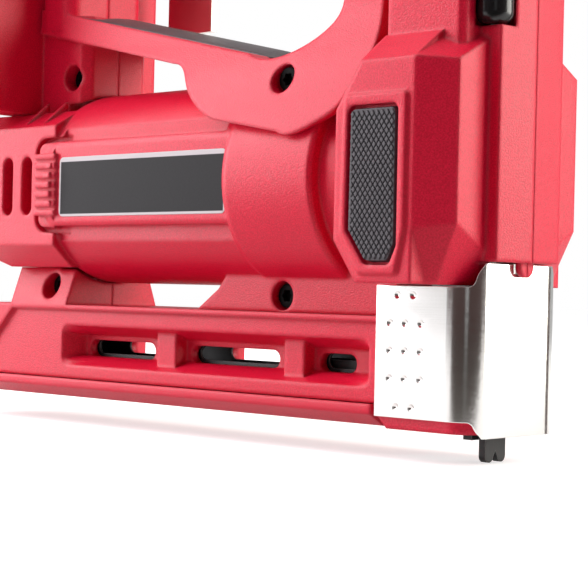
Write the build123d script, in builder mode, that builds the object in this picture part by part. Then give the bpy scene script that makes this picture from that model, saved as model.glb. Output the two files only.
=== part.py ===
import os
from math import acos, atan2, cos, pi, radians, sin, tan

from build123d import *

os.makedirs("parts", exist_ok=True)

# Cordless stapler, in millimetres. +X points forward, -Y is the tool's right side and Z = 0 is the
# underside of the magazine drawer. Heights and lengths are named by the piece they belong to.

# Fits
parting = 0.2  # open line between the two halves of a shell
fit = 0.3  # gap between pieces that don't turn on each other
slip = 0.05  # radial gap of a running fit
seat = 0.1  # gap where one fixed piece sits in another

# Barrel, collar and neck round the motor axis
axis_z = 69.6
barrel_r = 31.4
barrel_shoulder_x = -40
rear_cap_x = (-88, -38)
rear_cap_half = 28
collar_r = 32
collar_x = (43, 78)
neck_r = 28

# Head
front_x = 131
front_edge_x = 129.5
front_half = 14.4
front_foot_z = 46
fin_x = 125.9
fin_half = 27.1
bulge_x = (89.4, 116.4)
bulge_half = 34
pad_frame_half = 35
skirt_z = 39.6
ledge_z = 107.5
tower_rear_x = 97
tower_front_x = 122.8
tower_half = 22
tower_top_z = 195
cap_top_z = 204

# Motor and gear train
can_r = 24
can_x = (-44, 14)
shaft_r = 2.5
fan_r = 19.5
case_r = 27
case_x = (14.3, 64)
planet_module = 0.8
sun_teeth = 12
planet_teeth = 18
ring_teeth = 48
planet_face_x = (21, 33)
bevel_module = 1.25
pinion_teeth = 12
lifter_teeth = 24
lifter_x = 92
bevel_small_end = 0.68  # size of the small end of the bevel teeth against the large end
tooth_backlash = 0.16
lift_pin_radius = 11

# Driver line
driver_x = 116.9
blade_thickness = 1.3
blade_half = 5.2
rod_x = 114
rod_y = 13
rod_r = 3
carriage_z = (58, 74)
driver_stroke = 26
tip_x = (118, 120.2)
tip_half = 4.6
tip_foot_z = -8.5
tip_travel = 7
spring_x = 116
spring_r = 7.6
room_top_z = carriage_z[1] + driver_stroke + 3.5
wheel_x = 125.6
wheel_y = -12.2
wheel_r = 5.1

# Nose plate
plate_thickness = 1.2
plate_front_x = 127.4
plate_front_half = 12.8
plate_half = 21.4
plate_rear_x = 94.6
plate_bend_x = 118.8
plate_z = (-1, 45.5)
wing_z = (3.3, 39.2)

# Magazine and drawer
magazine_rear_x = -95
magazine_half = 20
panel_half = 18.6
magazine_top_z = 30.6
drawer_top_z = 6.2
pocket_x = (-43.8, 90)
pocket_z = (10.7, 24)
pocket_floor_half = 10.4
window_z = (13.7, 19.2)
window_xs = ((-38.8, -6.6), (10, 48.3), (64.2, 78.6))
rib_xs = ((-0.5, 7.9), (54.7, 62.5))
rib_half = 15.3
channel_half = 7.4
channel_top_z = 25

# Handle and battery
post_x = (76, 91)
post_half = 16.5
grip_z = (158, 196)
grip_half = 17
grip_front_x = 96.7
base_x = (-76, -63)
base_half = 37
base_z = (95, 208)
tongue_half = 25
tongue_neck_half = 20
tongue_z = (112, 198)
battery_x = (-131, -76.4)
battery_half = 37.5
battery_z = (108, 208)
battery_split_x = -95
cell_r = 9.1
cell_length = 65


def involute(angle):
    return tan(angle) - angle


def flank(radius, base, half_at_base):
    """Half the angle a tooth covers at a radius, on an involute from its base circle."""
    if radius <= base:
        return half_at_base
    return half_at_base - involute(acos(base / radius))


def gear_outline(teeth, module, addendum, dedendum, backlash, turn=0.0, steps=4):
    """Corner points of a spur gear's outline, with 20 degree involute flanks."""
    pitch = teeth * module / 2
    base = pitch * cos(radians(20))
    root = pitch - dedendum
    half_at_base = pi / (2 * teeth) - backlash / (2 * pitch) + involute(radians(20))
    start = max(base, root)
    radii = [start + (pitch + addendum - start) * i / steps for i in range(steps + 1)]
    points = []
    for k in range(teeth):
        middle = 2 * pi * k / teeth + turn
        side = [(r, flank(r, base, half_at_base)) for r in radii]
        if root < start:
            side = [(root, half_at_base)] + side
        points += [(r * cos(middle - h), r * sin(middle - h)) for r, h in side]
        points += [(r * cos(middle + h), r * sin(middle + h)) for r, h in reversed(side)]
    return points


def bevel_outline(teeth, mate_teeth, module, turn=0.0, steps=3):
    """Outline of a bevel gear on the flat plane of its large end, drawn so that it scales to the apex."""
    pitch = teeth * module / 2
    height = mate_teeth * module / 2
    cone = atan2(teeth, mate_teeth)
    virtual = pitch / cos(cone)
    base = virtual * cos(radians(20))
    half = pi / (2 * teeth) * cos(cone) - tooth_backlash / (2 * virtual) + involute(radians(20))
    lows = virtual - 1.2 * module
    highs = virtual + 0.85 * module
    start = max(base, lows)
    radii = [start + (highs - start) * i / steps for i in range(steps + 1)]
    if lows < start:
        radii = [lows] + radii
    side = []
    for radius in radii:
        rise = radius - virtual
        flat = height * (pitch + rise * cos(cone)) / (height - rise * sin(cone))
        side.append((flat, flank(radius, base, half) / cos(cone)))
    points = []
    for k in range(teeth):
        middle = 2 * pi * k / teeth + turn
        points += [(r * cos(middle - h), r * sin(middle - h)) for r, h in side]
        points += [(r * cos(middle + h), r * sin(middle + h)) for r, h in reversed(side)]
    return points


motor_axis = Axis((0, 0, axis_z), (1, 0, 0))
right_side = Plane.XZ.offset(parting / 2)
left_side = Plane.XZ.offset(-parting / 2)

# Places of the long screws: x, z, how far the head's seat and the tip lie to the right and left of the middle
body_screws = ((101.5, 122, 15, 12), (101.5, 178, 15, 12), (52, 35.5, 9, 9))
handle_screws = ((-47, 106.5, 7, 11), (84, 138, 7, 11), (-55, 146, 7, 11))
plate_screw = (62, 97.5, 21.3, -10)
pillar_screw = (-51, axis_z - barrel_r - 1.4, 11, -8.8)
screw_head_r = 3.6
screw_head_height = 3
screw_shank_r = 1.9
screw_well_r = 4.4

# Brow: the prow of the head on each side of the front face, sloped off above and below
brow_slopes = (
    ((fin_x, fin_half, 98.5), (0.375, 0.427, 0.821)),
    ((fin_x, fin_half, 55.6), (0.883, 0.219, -0.415)),
    ((fin_x, fin_half, 55.6), (0.59, 0.74, -0.318)),
    ((bulge_x[1], bulge_half, 99), (0, ledge_z - 99, bulge_half - tower_half)),
)
with BuildPart() as brow:
    with BuildSketch(Plane.XY.offset(skirt_z)):
        with BuildLine():
            Polyline(
                (100, 0),
                (100, bulge_half),
                (bulge_x[1], bulge_half),
                (fin_x, fin_half),
                (fin_x, 0),
                close=True,
            )
        make_face()
    extrude(amount=ledge_z - skirt_z)
    for point, normal in brow_slopes:
        split(bisect_by=Plane(origin=point, z_dir=normal), keep=Keep.BOTTOM)
    mirror(about=Plane.XZ)

# Rear cap of the barrel: flat sides, sloped shoulders, and an underside that rises to the rear
with BuildPart() as rear_cap:
    with BuildSketch(Plane.YZ.offset(rear_cap_x[0])):
        with BuildLine():
            Polyline(
                (0, 43),
                (20, 43),
                (rear_cap_half, 50),
                (rear_cap_half, 89),
                (18, 94.8),
                (0, 94.8),
                close=True,
            )
        make_face()
        mirror(about=Plane.YZ)
    extrude(amount=rear_cap_x[1] - rear_cap_x[0])
    chamfer(rear_cap.faces().sort_by(Axis.X)[0].edges(), 3)
    with BuildSketch(Plane.XZ):
        with BuildLine():
            Polyline((-70, 43), (-86, 50), (-96, 60), (-96, 40), (-70, 40), close=True)
        make_face()
    extrude(amount=40, both=True, mode=Mode.SUBTRACT)

# Body shell: head, neck, collar, barrel and the throat over the magazine
with BuildPart() as body:
    # The bulge that carries the rubber pad, with its upper slopes
    with BuildSketch(Plane.XZ):
        with BuildLine():
            Polyline(
                (bulge_x[1], skirt_z),
                (97.5, skirt_z),
                (bulge_x[0], 51.1),
                (bulge_x[0], 86.3),
                (97.5, 98.7),
                (96.3, ledge_z),
                (bulge_x[1], ledge_z),
                close=True,
            )
        make_face()
    extrude(amount=bulge_half, both=True)
    with BuildSketch(Plane.YZ.offset(bulge_x[0] - 2)):
        with BuildLine():
            Polyline((bulge_half, 99), (tower_half, ledge_z), (tower_half, 120), (50, 120), (50, 99), close=True)
        make_face()
        mirror(about=Plane.YZ)
    extrude(amount=40, mode=Mode.SUBTRACT)
    add(brow.part)
    # The front face, in two facets that meet on the parting line, cut away over the nose plate
    with BuildSketch(Plane.XY.offset(front_foot_z)):
        with BuildLine():
            Polyline((100, 0), (front_x, 0), (front_edge_x, front_half), (100, front_half), close=True)
        make_face()
        mirror(about=Plane.XZ)
    extrude(amount=ledge_z - front_foot_z)
    with Locations((132, 0, front_foot_z - 10)):
        Box(16.4, 2 * plate_half + 0.8, 20, mode=Mode.SUBTRACT)
    # The tower that rises out of the slopes
    with BuildSketch(Plane.XY.offset(ledge_z - 10)):
        with BuildLine():
            Polyline(
                (tower_rear_x, 0),
                (front_x, 0),
                (front_edge_x, front_half),
                (tower_front_x, front_half),
                (tower_front_x, tower_half - 1.6),
                (tower_front_x - 1.6, tower_half),
                (tower_rear_x, tower_half),
                close=True,
            )
        make_face()
        mirror(about=Plane.XZ)
    extrude(amount=tower_top_z - ledge_z + 10)
    # Raised frame round the pad's pocket
    for side in (-1, 1):
        with BuildSketch(Plane.XZ.offset(-side * (bulge_half - 1))) as frame:
            with BuildLine():
                Polyline((98.5, 41.2), (112.2, 41.2), (115.2, 54), (115.2, 90.8), (92, 90.8), (91.2, 53), close=True)
            make_face()
            fillet(frame.vertices(), 2)
        extrude(amount=-side * (pad_frame_half - bulge_half + 1), taper=25)
    # Barrel with its rounded shoulder, the collar and the neck, then the rear cap with two ribs on its shoulder
    with BuildSketch(Plane.XZ):
        with BuildLine():
            Polyline(
                (barrel_shoulder_x - 9, axis_z + barrel_r - 7.4),
                (barrel_shoulder_x - 9, axis_z),
                (100, axis_z),
                (100, axis_z + neck_r),
                (collar_x[1], axis_z + neck_r),
                (collar_x[1], axis_z + collar_r - 1),
                (collar_x[1] - 1, axis_z + collar_r),
                (collar_x[0] + 2, axis_z + collar_r),
                (collar_x[0], axis_z + barrel_r),
                (barrel_shoulder_x + 4, axis_z + barrel_r),
            )
            TangentArc(
                (barrel_shoulder_x + 4, axis_z + barrel_r),
                (barrel_shoulder_x - 9, axis_z + barrel_r - 7.4),
                tangent=(-1, 0),
            )
        make_face()
    revolve(axis=motor_axis)
    add(rear_cap.part)
    for x in (-57.3, -47.8):
        with BuildSketch(Plane.YZ.offset(x)):
            with BuildLine():
                Polyline((26.5, 89.9), (16.4, 98.2), (16.4, 92), (26.5, 88), close=True)
            make_face()
            mirror(about=Plane.YZ)
        extrude(amount=1.6)
    # Throat between the barrel and the magazine
    with BuildSketch(Plane.XZ):
        with BuildLine():
            Polyline(
                (16, magazine_top_z + seat),
                (25, 37),
                (32, 46),
                (96, 46),
                (96, magazine_top_z + seat),
                close=True,
            )
        make_face()
    extrude(amount=14, both=True)
    # Label flat, its upper and lower steps and the ribbed block behind it, on both sides
    for side in (-1, 1):
        with Locations((3, side * 34, axis_z)):
            Box(80, 10, 36, mode=Mode.SUBTRACT)
        with Locations((3, side * 30.6, 85.6)):
            Box(76, 10, 4.2, mode=Mode.SUBTRACT)
        with Locations((3, side * 30.4, 54)):
            Box(80, 10, 4.6, mode=Mode.SUBTRACT)
        with Locations((-40.6, side * 27.5, axis_z)):
            Box(10.2, 5.6, 20)
        with Locations(*[(-40.6, side * 30.6, axis_z + 3.1 * k - 7.75) for k in range(6)]):
            Box(11, 2, 1.2, mode=Mode.SUBTRACT)
        with BuildSketch(Plane.XZ.offset(-side * 25)):
            for up in (-1, 1):
                with BuildLine():
                    FilletPolyline(
                        (-46.9, axis_z + up * 9.4),
                        (-46.9, axis_z + up * 14.4),
                        (-32, axis_z + up * 15),
                        radius=4,
                    )
                trace(line_width=1.8)
        extrude(amount=-side * 20, mode=Mode.SUBTRACT)
    # Cooling slots behind the motor
    with BuildSketch(Plane.XZ):
        with Locations((-62.7, axis_z), (-52.6, axis_z)):
            SlotOverall(19.4, 5.4, rotation=90)
    extrude(amount=60, both=True, mode=Mode.SUBTRACT)
    # Stepped bore: fan chamber, motor seat, gear case seat, neck
    with BuildSketch(Plane.XZ):
        with BuildLine():
            Polyline(
                (-70, axis_z),
                (-70, axis_z + 22.5),
                (can_x[0] - fit, axis_z + 22.5),
                (can_x[0] - fit, axis_z + can_r + seat),
                (case_x[0] - seat, axis_z + can_r + seat),
                (case_x[0] - seat, axis_z + case_r + seat),
                (case_x[1] + seat, axis_z + case_r + seat),
                (case_x[1] + seat, axis_z + 26.4),
                (95, axis_z + 26.4),
                (95, axis_z),
                close=True,
            )
        make_face()
    revolve(axis=motor_axis, mode=Mode.SUBTRACT)
    # Room for the lifter and the driver, open at the foot for the blade
    with Locations((102, 0, 71)):
        Box(18, 49, 42, mode=Mode.SUBTRACT)
    with Locations((113.5, 0, (46.9 + room_top_z) / 2)):
        Box(15, 37, room_top_z - 46.9, mode=Mode.SUBTRACT)
    with Locations((122, 0, (46.9 + room_top_z) / 2)):
        Box(8, 21, room_top_z - 46.9, mode=Mode.SUBTRACT)
    with BuildSketch(Plane.XY.offset(room_top_z - 1)):
        with Locations((spring_x, 0)):
            Circle(spring_r + 0.6)
        with Locations((rod_x, rod_y), (rod_x, -rod_y)):
            Circle(rod_r + 0.4)
    extrude(amount=187 - room_top_z, mode=Mode.SUBTRACT)
    with Locations((113.5, 0, 188.2)):
        Box(15, 37, 6.6, mode=Mode.SUBTRACT)
    with Locations((115, 0, 43)):
        Box(22.4, 19.2, 12, mode=Mode.SUBTRACT)
    # Seats of the lifter axle
    with BuildSketch(Plane.XZ):
        with Locations((lifter_x, axis_z)):
            Circle(4 + slip)
    extrude(amount=27, both=True, mode=Mode.SUBTRACT)
    # Pockets of the side pads
    for side in (-1, 1):
        with BuildSketch(Plane.XZ.offset(-side * (pad_frame_half - 2.4))) as pocket:
            with BuildLine():
                Polyline((100.9, 44.4), (109.8, 44.4), (112.2, 49.6), (112, 87.2), (94.3, 87.2), (94.1, 53.6), close=True)
            make_face()
            fillet(pocket.vertices(), 2.2)
        extrude(amount=-side * 10, mode=Mode.SUBTRACT)
    # Pocket of the adjusting wheel, open at the front right corner, and its pin's hole
    with BuildSketch(Plane.XY.offset(108.6)):
        with Locations((wheel_x, wheel_y)):
            Circle(wheel_r + 0.5)
        with Locations((tower_front_x + 6, wheel_y - 4.8)):
            Rectangle(12, 16)
    extrude(amount=15, mode=Mode.SUBTRACT)
    with BuildSketch(Plane.XY.offset(104)):
        with Locations((wheel_x, wheel_y)):
            Circle(1.5 + slip)
    extrude(amount=24, mode=Mode.SUBTRACT)
    # Screw wells from the right and their shank holes
    for x, z, head, tip in body_screws:
        with BuildSketch(Plane.XZ.offset(-tip - fit)):
            with Locations((x, z)):
                Circle(screw_shank_r + seat)
        extrude(amount=60, mode=Mode.SUBTRACT)
        with BuildSketch(Plane.XZ.offset(head)):
            with Locations((x, z)):
                Circle(screw_well_r)
        extrude(amount=40, mode=Mode.SUBTRACT)
    with BuildSketch(Plane.XZ.offset(-plate_screw[3] - fit)):
        with Locations((plate_screw[0], plate_screw[1])):
            Circle(screw_shank_r + seat)
    extrude(amount=40, mode=Mode.SUBTRACT)
    # Lip over the top edge of the nose plate
    with BuildSketch(Plane.YZ.offset(plate_front_x + fit)):
        with Locations((0, front_foot_z)):
            SlotOverall(8, 6, rotation=90)
    extrude(amount=1.6)

with BuildPart() as body_right:
    add(body.part)
    split(bisect_by=right_side, keep=Keep.TOP)
body_right.part.label = "body_right"
export_step(body_right.part, "parts/body_right.step")

with BuildPart() as body_left:
    add(body.part)
    split(bisect_by=left_side, keep=Keep.BOTTOM)
body_left.part.label = "body_left"
export_step(body_left.part, "parts/body_left.step")

# Cap that closes the tower
with BuildPart() as head_cap:
    with BuildSketch(Plane.XY.offset(tower_top_z + seat)):
        with BuildLine():
            Polyline(
                (tower_rear_x, 0),
                (front_x - 0.8, 0),
                (front_edge_x - 0.8, front_half),
                (tower_front_x - 1, tower_half - 0.6),
                (tower_rear_x, tower_half - 0.6),
                close=True,
            )
        make_face()
        mirror(about=Plane.XZ)
    extrude(amount=cap_top_z - tower_top_z - seat)
    fillet(head_cap.faces().sort_by(Axis.Z)[-1].edges(), 3)
head_cap.part.label = "head_cap"
export_step(head_cap.part, "parts/head_cap.step")

# Handle shell: plate over the collar, bridge, front and rear posts, grip, neck and battery base
plate_lower_edge = [(65, 81.8), (69, 80.7), (74, 81.7), (79, 83.8), (86, 87.9), (89, 92.2), (91.5, 97.7)]
plate_front_edge = [(91.5, 97.7), (93.2, 103), (92.9, 107.9), (91, 118)]
plate_rear_edge = [(37.4, 86.8), (33.7, 88.3), (26, 93.5), (22, 97.7), (18, 103), (11.5, 106)]
opening_front = [(44, 106.6), (55.6, 104.3), (63.3, 106.1), (70.4, 110.1), (74.4, 114.4), (76, 119.8)]
with BuildPart() as handle:
    with BuildSketch(Plane.XZ):
        with BuildLine():
            Line((-62, 130.7), (44, 106.6))
            Spline(*opening_front)
            Polyline((76, 119.8), (76, 126), (91, 126), (91, 118))
            Spline(*reversed(plate_front_edge))
            Spline(*reversed(plate_lower_edge))
            Line((65, 81.8), (37.4, 86.8))
            Spline(*plate_rear_edge)
            Polyline((11.5, 106), (-62, 122.4), (-62, 130.7))
        make_face()
    extrude(amount=40, both=True)
    with BuildSketch(Plane.YZ.offset(-70)):
        with BuildLine():
            Spline((32.9, 79), (29.9, 88), (26.5, 98), (22, 107), (18, 115), (16.4, 122), (16, 134))
            Polyline((16, 134), (0, 134), (0, 79), (32.9, 79))
        make_face()
        mirror(about=Plane.YZ)
    extrude(amount=180, mode=Mode.INTERSECT)
    with BuildSketch(Plane.XY.offset(116)):
        with Locations(((post_x[0] + post_x[1]) / 2, 0)):
            RectangleRounded(post_x[1] - post_x[0], 2 * post_half, 5)
    extrude(amount=54)
    with BuildSketch(Plane.XY.offset(122.6)):
        with Locations((-54.5, 0)):
            RectangleRounded(17, 2 * post_half, 5)
    extrude(amount=47)
    with BuildSketch(Plane.YZ.offset(base_x[1] - 1)):
        with Locations((0, (grip_z[0] + grip_z[1]) / 2)):
            RectangleRounded(2 * grip_half, grip_z[1] - grip_z[0], 12)
    extrude(amount=grip_front_x - base_x[1] + 1)
    with BuildSketch(Plane.XY.offset(93)):
        with BuildLine():
            Polyline((-64, 0), (-64, 14), (-43, 14), (-40, 11), (-40, 0), close=True)
        make_face()
        mirror(about=Plane.XZ)
    extrude(amount=34)
    # Battery base and its tongue
    with BuildSketch(Plane.YZ.offset(base_x[0])):
        with Locations((0, (base_z[0] + base_z[1]) / 2)):
            RectangleRounded(2 * base_half, base_z[1] - base_z[0], 6)
    extrude(amount=base_x[1] - base_x[0])
    with BuildSketch(Plane.XY.offset(tongue_z[0])):
        with Locations((base_x[0] - 1, 0)):
            Rectangle(4, 2 * tongue_neck_half)
        with Locations((base_x[0] - 4.4, 0)):
            Rectangle(3.2, 2 * tongue_half)
    extrude(amount=tongue_z[1] - tongue_z[0])
    # Clearance round the barrel and the collar
    with BuildSketch(Plane.XZ):
        with BuildLine():
            Polyline(
                (barrel_shoulder_x - 8.5, axis_z),
                (barrel_shoulder_x - 8.5, axis_z + barrel_r + seat),
                (collar_x[0] - 0.6, axis_z + barrel_r + seat),
                (collar_x[0] + 1.4, axis_z + collar_r + seat),
                (120, axis_z + collar_r + seat),
                (120, axis_z),
                close=True,
            )
        make_face()
    revolve(axis=motor_axis, mode=Mode.SUBTRACT)
    with Locations((barrel_shoulder_x - 29, 0, 85)):
        Box(41.1, 2 * base_half + 4, 20, mode=Mode.SUBTRACT)
    # Room in the grip, the trigger's slot, the terminals' pocket
    with Locations((18, 0, 177.5)):
        Box(140, 25, 25, mode=Mode.SUBTRACT)
    with Locations((59, 0, 160)):
        Box(26.8, 18.8, 14, mode=Mode.SUBTRACT)
    with Locations((-76, 0, 156)):
        Box(16, 24.2, 12.2, mode=Mode.SUBTRACT)
    for x, z, head, tip in handle_screws:
        with BuildSketch(Plane.XZ.offset(-tip - fit)):
            with Locations((x, z)):
                Circle(screw_shank_r + seat)
        extrude(amount=60, mode=Mode.SUBTRACT)
        with BuildSketch(Plane.XZ.offset(head)):
            with Locations((x, z)):
                Circle(screw_well_r)
        extrude(amount=40, mode=Mode.SUBTRACT)
    with BuildSketch(Plane.XZ.offset(plate_screw[2])):
        with Locations((plate_screw[0], plate_screw[1])):
            Circle(screw_well_r)
    extrude(amount=40, mode=Mode.SUBTRACT)
    with BuildSketch(Plane.XZ):
        with Locations((plate_screw[0], plate_screw[1])):
            Circle(screw_shank_r + seat)
    extrude(amount=40, mode=Mode.SUBTRACT)
    # Threaded seat of the belt hook's screw
    with BuildSketch(Plane.XZ.offset(-13)):
        with Locations((-42, 177)):
            Circle(2.5 + seat)
    extrude(amount=-20, mode=Mode.SUBTRACT)

with BuildPart() as handle_right:
    add(handle.part)
    split(bisect_by=right_side, keep=Keep.TOP)
handle_right.part.label = "handle_right"
export_step(handle_right.part, "parts/handle_right.step")

with BuildPart() as handle_left:
    add(handle.part)
    split(bisect_by=left_side, keep=Keep.BOTTOM)
handle_left.part.label = "handle_left"
export_step(handle_left.part, "parts/handle_left.step")

# Magazine shell with its pillar and the cheeks inside the nose plate
cheek_front_x = plate_front_x - plate_thickness - seat
cheek_half = plate_half - plate_thickness - seat
with BuildPart() as magazine:
    with BuildSketch(Plane.YZ.offset(magazine_rear_x)):
        with Locations((0, (magazine_top_z + drawer_top_z + fit) / 2)):
            Rectangle(2 * magazine_half, magazine_top_z - drawer_top_z - fit)
    extrude(amount=plate_rear_x - fit - magazine_rear_x)
    # Recessed side panels with a slanted rear border, then the sloped pockets, ribs and windows
    for side in (-1, 1):
        with BuildSketch(Plane.XZ.offset(-side * panel_half)):
            with BuildLine():
                Polyline((-90.4, 5), (-78.8, 19.4), (-69.4, 29), (100, 29), (100, 5), close=True)
            make_face()
        extrude(amount=-side * 10, mode=Mode.SUBTRACT)
        with BuildSketch(Plane.XZ.offset(-side * panel_half)) as pocket_mouth:
            with Locations(((pocket_x[0] + pocket_x[1]) / 2, (pocket_z[0] + pocket_z[1]) / 2)):
                Rectangle(pocket_x[1] - pocket_x[0], pocket_z[1] - pocket_z[0])
            fillet(pocket_mouth.vertices(), 2.4)
        extrude(amount=side * (panel_half - pocket_floor_half), taper=22, mode=Mode.SUBTRACT)
        for start, end in rib_xs:
            with Locations(((start + end) / 2, side * (rib_half + pocket_floor_half - 1) / 2, 17.3)):
                Box(end - start, rib_half - pocket_floor_half + 1, 12.6)
    with BuildSketch(Plane.XZ):
        for start, end in window_xs:
            with Locations(((start + end) / 2, (window_z[0] + window_z[1]) / 2)):
                SlotOverall(end - start, window_z[1] - window_z[0])
    extrude(amount=40, both=True, mode=Mode.SUBTRACT)
    # Cheeks that fill the nose plate
    with BuildSketch(Plane.XY):
        with BuildLine():
            Line((plate_rear_x - fit - 0.1, 0), (plate_rear_x - fit - 0.1, cheek_half))
            Line((plate_rear_x - fit - 0.1, cheek_half), (plate_bend_x, cheek_half))
            EllipticalCenterArc(
                (plate_bend_x, plate_front_half),
                cheek_front_x - plate_bend_x,
                cheek_half - plate_front_half,
                start_angle=0,
                arc_size=90,
            )
            Line((cheek_front_x, plate_front_half), (cheek_front_x, 0))
            Line((cheek_front_x, 0), (plate_rear_x - fit - 0.1, 0))
        make_face()
        mirror(about=Plane.XZ)
    extrude(amount=39)
    with Locations((plate_rear_x + 1, 0, 40)):
        Box(7.4, 60, 2 * (40 - magazine_top_z), mode=Mode.SUBTRACT)
    with BuildSketch(Plane.XZ):
        with BuildLine():
            Polyline(
                (plate_rear_x - 2, 4),
                (plate_rear_x - 0.6, 4),
                (plate_rear_x + 3.4, 0),
                (plate_rear_x + 3.4, -1),
                (plate_rear_x - 2, -1),
                close=True,
            )
        make_face()
    extrude(amount=40, both=True, mode=Mode.SUBTRACT)
    # Pillar up to the barrel
    with BuildSketch(Plane.YZ.offset(-70)):
        with BuildLine():
            Polyline((0, 29), (magazine_half, 29), (magazine_half, 30.6), (15.6, 42.9), (0, 42.9), close=True)
        make_face()
        mirror(about=Plane.YZ)
    extrude(amount=29.3)
    with BuildSketch(Plane.YZ.offset(barrel_shoulder_x - 8.5)):
        with Locations((0, axis_z)):
            Circle(barrel_r + seat)
    extrude(amount=60, mode=Mode.SUBTRACT)
    # Staple channel, room for the nose guide, and the pillar's screw well
    with Locations((0, 0, 12.5)):
        Box(220, 2 * channel_half, 2 * (channel_top_z - 12.5), mode=Mode.SUBTRACT)
    with Locations((108, 0, 20)):
        Box(38, 18.8, 50, mode=Mode.SUBTRACT)
    with BuildSketch(Plane.XZ.offset(-pillar_screw[3] - fit)):
        with Locations((pillar_screw[0], pillar_screw[1])):
            Circle(screw_shank_r + seat)
    extrude(amount=20, mode=Mode.SUBTRACT)
    with BuildSketch(Plane.XZ.offset(pillar_screw[2])):
        with Locations((pillar_screw[0], pillar_screw[1])):
            Circle(screw_well_r)
    extrude(amount=20, mode=Mode.SUBTRACT)

with BuildPart() as magazine_right:
    add(magazine.part)
    split(bisect_by=right_side, keep=Keep.TOP)
magazine_right.part.label = "magazine_right"
export_step(magazine_right.part, "parts/magazine_right.step")

with BuildPart() as magazine_left:
    add(magazine.part)
    split(bisect_by=left_side, keep=Keep.BOTTOM)
magazine_left.part.label = "magazine_left"
export_step(magazine_left.part, "parts/magazine_left.step")

# Nose plate: one folded stainless sheet round the nose
plate_dimples = [(x, z) for x in (102.1, 107.5) for z in (36.6, 6.2)]
plate_dimples += [(x, z) for x in (99.6, 104.9, 110.3) for z in (29, 21.5, 14)]
with BuildPart() as nose_plate:
    with BuildSketch(Plane.XY.offset(plate_z[0])):
        for skin, mode in ((0, Mode.ADD), (plate_thickness, Mode.SUBTRACT)):
            with BuildLine():
                Polyline(
                    (plate_rear_x, 0),
                    (plate_rear_x, plate_half - skin),
                    (plate_bend_x, plate_half - skin),
                )
                EllipticalCenterArc(
                    (plate_bend_x, plate_front_half),
                    plate_front_x - skin - plate_bend_x,
                    plate_half - skin - plate_front_half,
                    start_angle=0,
                    arc_size=90,
                )
                Polyline((plate_front_x - skin, plate_front_half), (plate_front_x - skin, 0), (plate_rear_x, 0))
            make_face(mode=mode)
        mirror(about=Plane.XZ)
    extrude(amount=plate_z[1] - plate_z[0])
    # The wings are shorter than the front and run into it in an S
    with BuildSketch(Plane.XZ):
        with BuildLine():
            Polyline((124.6, wing_z[0]), (80, wing_z[0]), (80, -5), (127.3, -5), (126.9, plate_z[0]))
            Spline((126.9, plate_z[0]), (126, 1.2), (124.6, wing_z[0]), tangents=((-0.2, 1), (-1, 0.2)))
        make_face()
        with BuildLine():
            Polyline((124.4, wing_z[1]), (80, wing_z[1]), (80, 50), (127.4, 50), (127, plate_z[1]))
            Spline((127, plate_z[1]), (125.9, 42), (124.4, wing_z[1]), tangents=((-0.2, -1), (-1, -0.2)))
        make_face()
    extrude(amount=40, both=True, mode=Mode.SUBTRACT)
    # Notch under the body's lip
    with Locations((plate_front_x, 0, plate_z[1])):
        Box(6, 6.8, 5, mode=Mode.SUBTRACT)
    # Dimples pressed into the wings
    for side in (-1, 1):
        for x, z in plate_dimples:
            with Locations((x, side * (plate_half + 0.8), z)):
                Sphere(1.35, mode=Mode.SUBTRACT)
nose_plate.part.label = "nose_plate"
export_step(nose_plate.part, "parts/nose_plate.step")

# Nose guide: steel block with the staple track, the blade's slot and the tip's slot
guide_half = 9.2
guide_x = (plate_rear_x - 1.8, 125)
guide_z = (-0.4, 45.8)
blade_slot_x = (driver_x - blade_thickness / 2 - 0.2, tip_x[1] + 0.2)
with BuildPart() as nose_guide:
    with BuildSketch(Plane.XZ):
        with BuildLine():
            Polyline(
                (guide_x[0], guide_z[0]),
                (guide_x[1], guide_z[0]),
                (guide_x[1], guide_z[1]),
                (104.2, guide_z[1]),
                (104.2, skirt_z - fit),
                (96.6, skirt_z - fit),
                (96.6, magazine_top_z - fit),
                (guide_x[0], magazine_top_z - fit),
                close=True,
            )
        make_face()
    extrude(amount=guide_half, both=True)
    with Locations((105, 0, 21)):
        Box(blade_slot_x[1] - 90 + 1.4, 11.6, 18, mode=Mode.SUBTRACT)
    with Locations(((blade_slot_x[0] + blade_slot_x[1]) / 2, 0, 22)):
        Box(blade_slot_x[1] - blade_slot_x[0], 2 * blade_half + 0.6, 60, mode=Mode.SUBTRACT)
    with Locations(((tip_x[0] + tip_x[1]) / 2, -7.1, 41)):
        Box(4.2, 5, 26, mode=Mode.SUBTRACT)
nose_guide.part.label = "nose_guide"
export_step(nose_guide.part, "parts/nose_guide.step")

# Nose foot: black steel block under the guide, behind the blade
foot_z = (-2.6, -0.7)
with BuildPart() as nose_foot:
    with BuildSketch(Plane.XY.offset(foot_z[0])):
        with Locations((blade_slot_x[0] - 1.65, 0)):
            Rectangle(3, 2 * blade_half - 0.4)
    extrude(amount=foot_z[1] - foot_z[0] + 0.3)
nose_foot.part.label = "nose_foot"
export_step(nose_foot.part, "parts/nose_foot.step")

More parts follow.
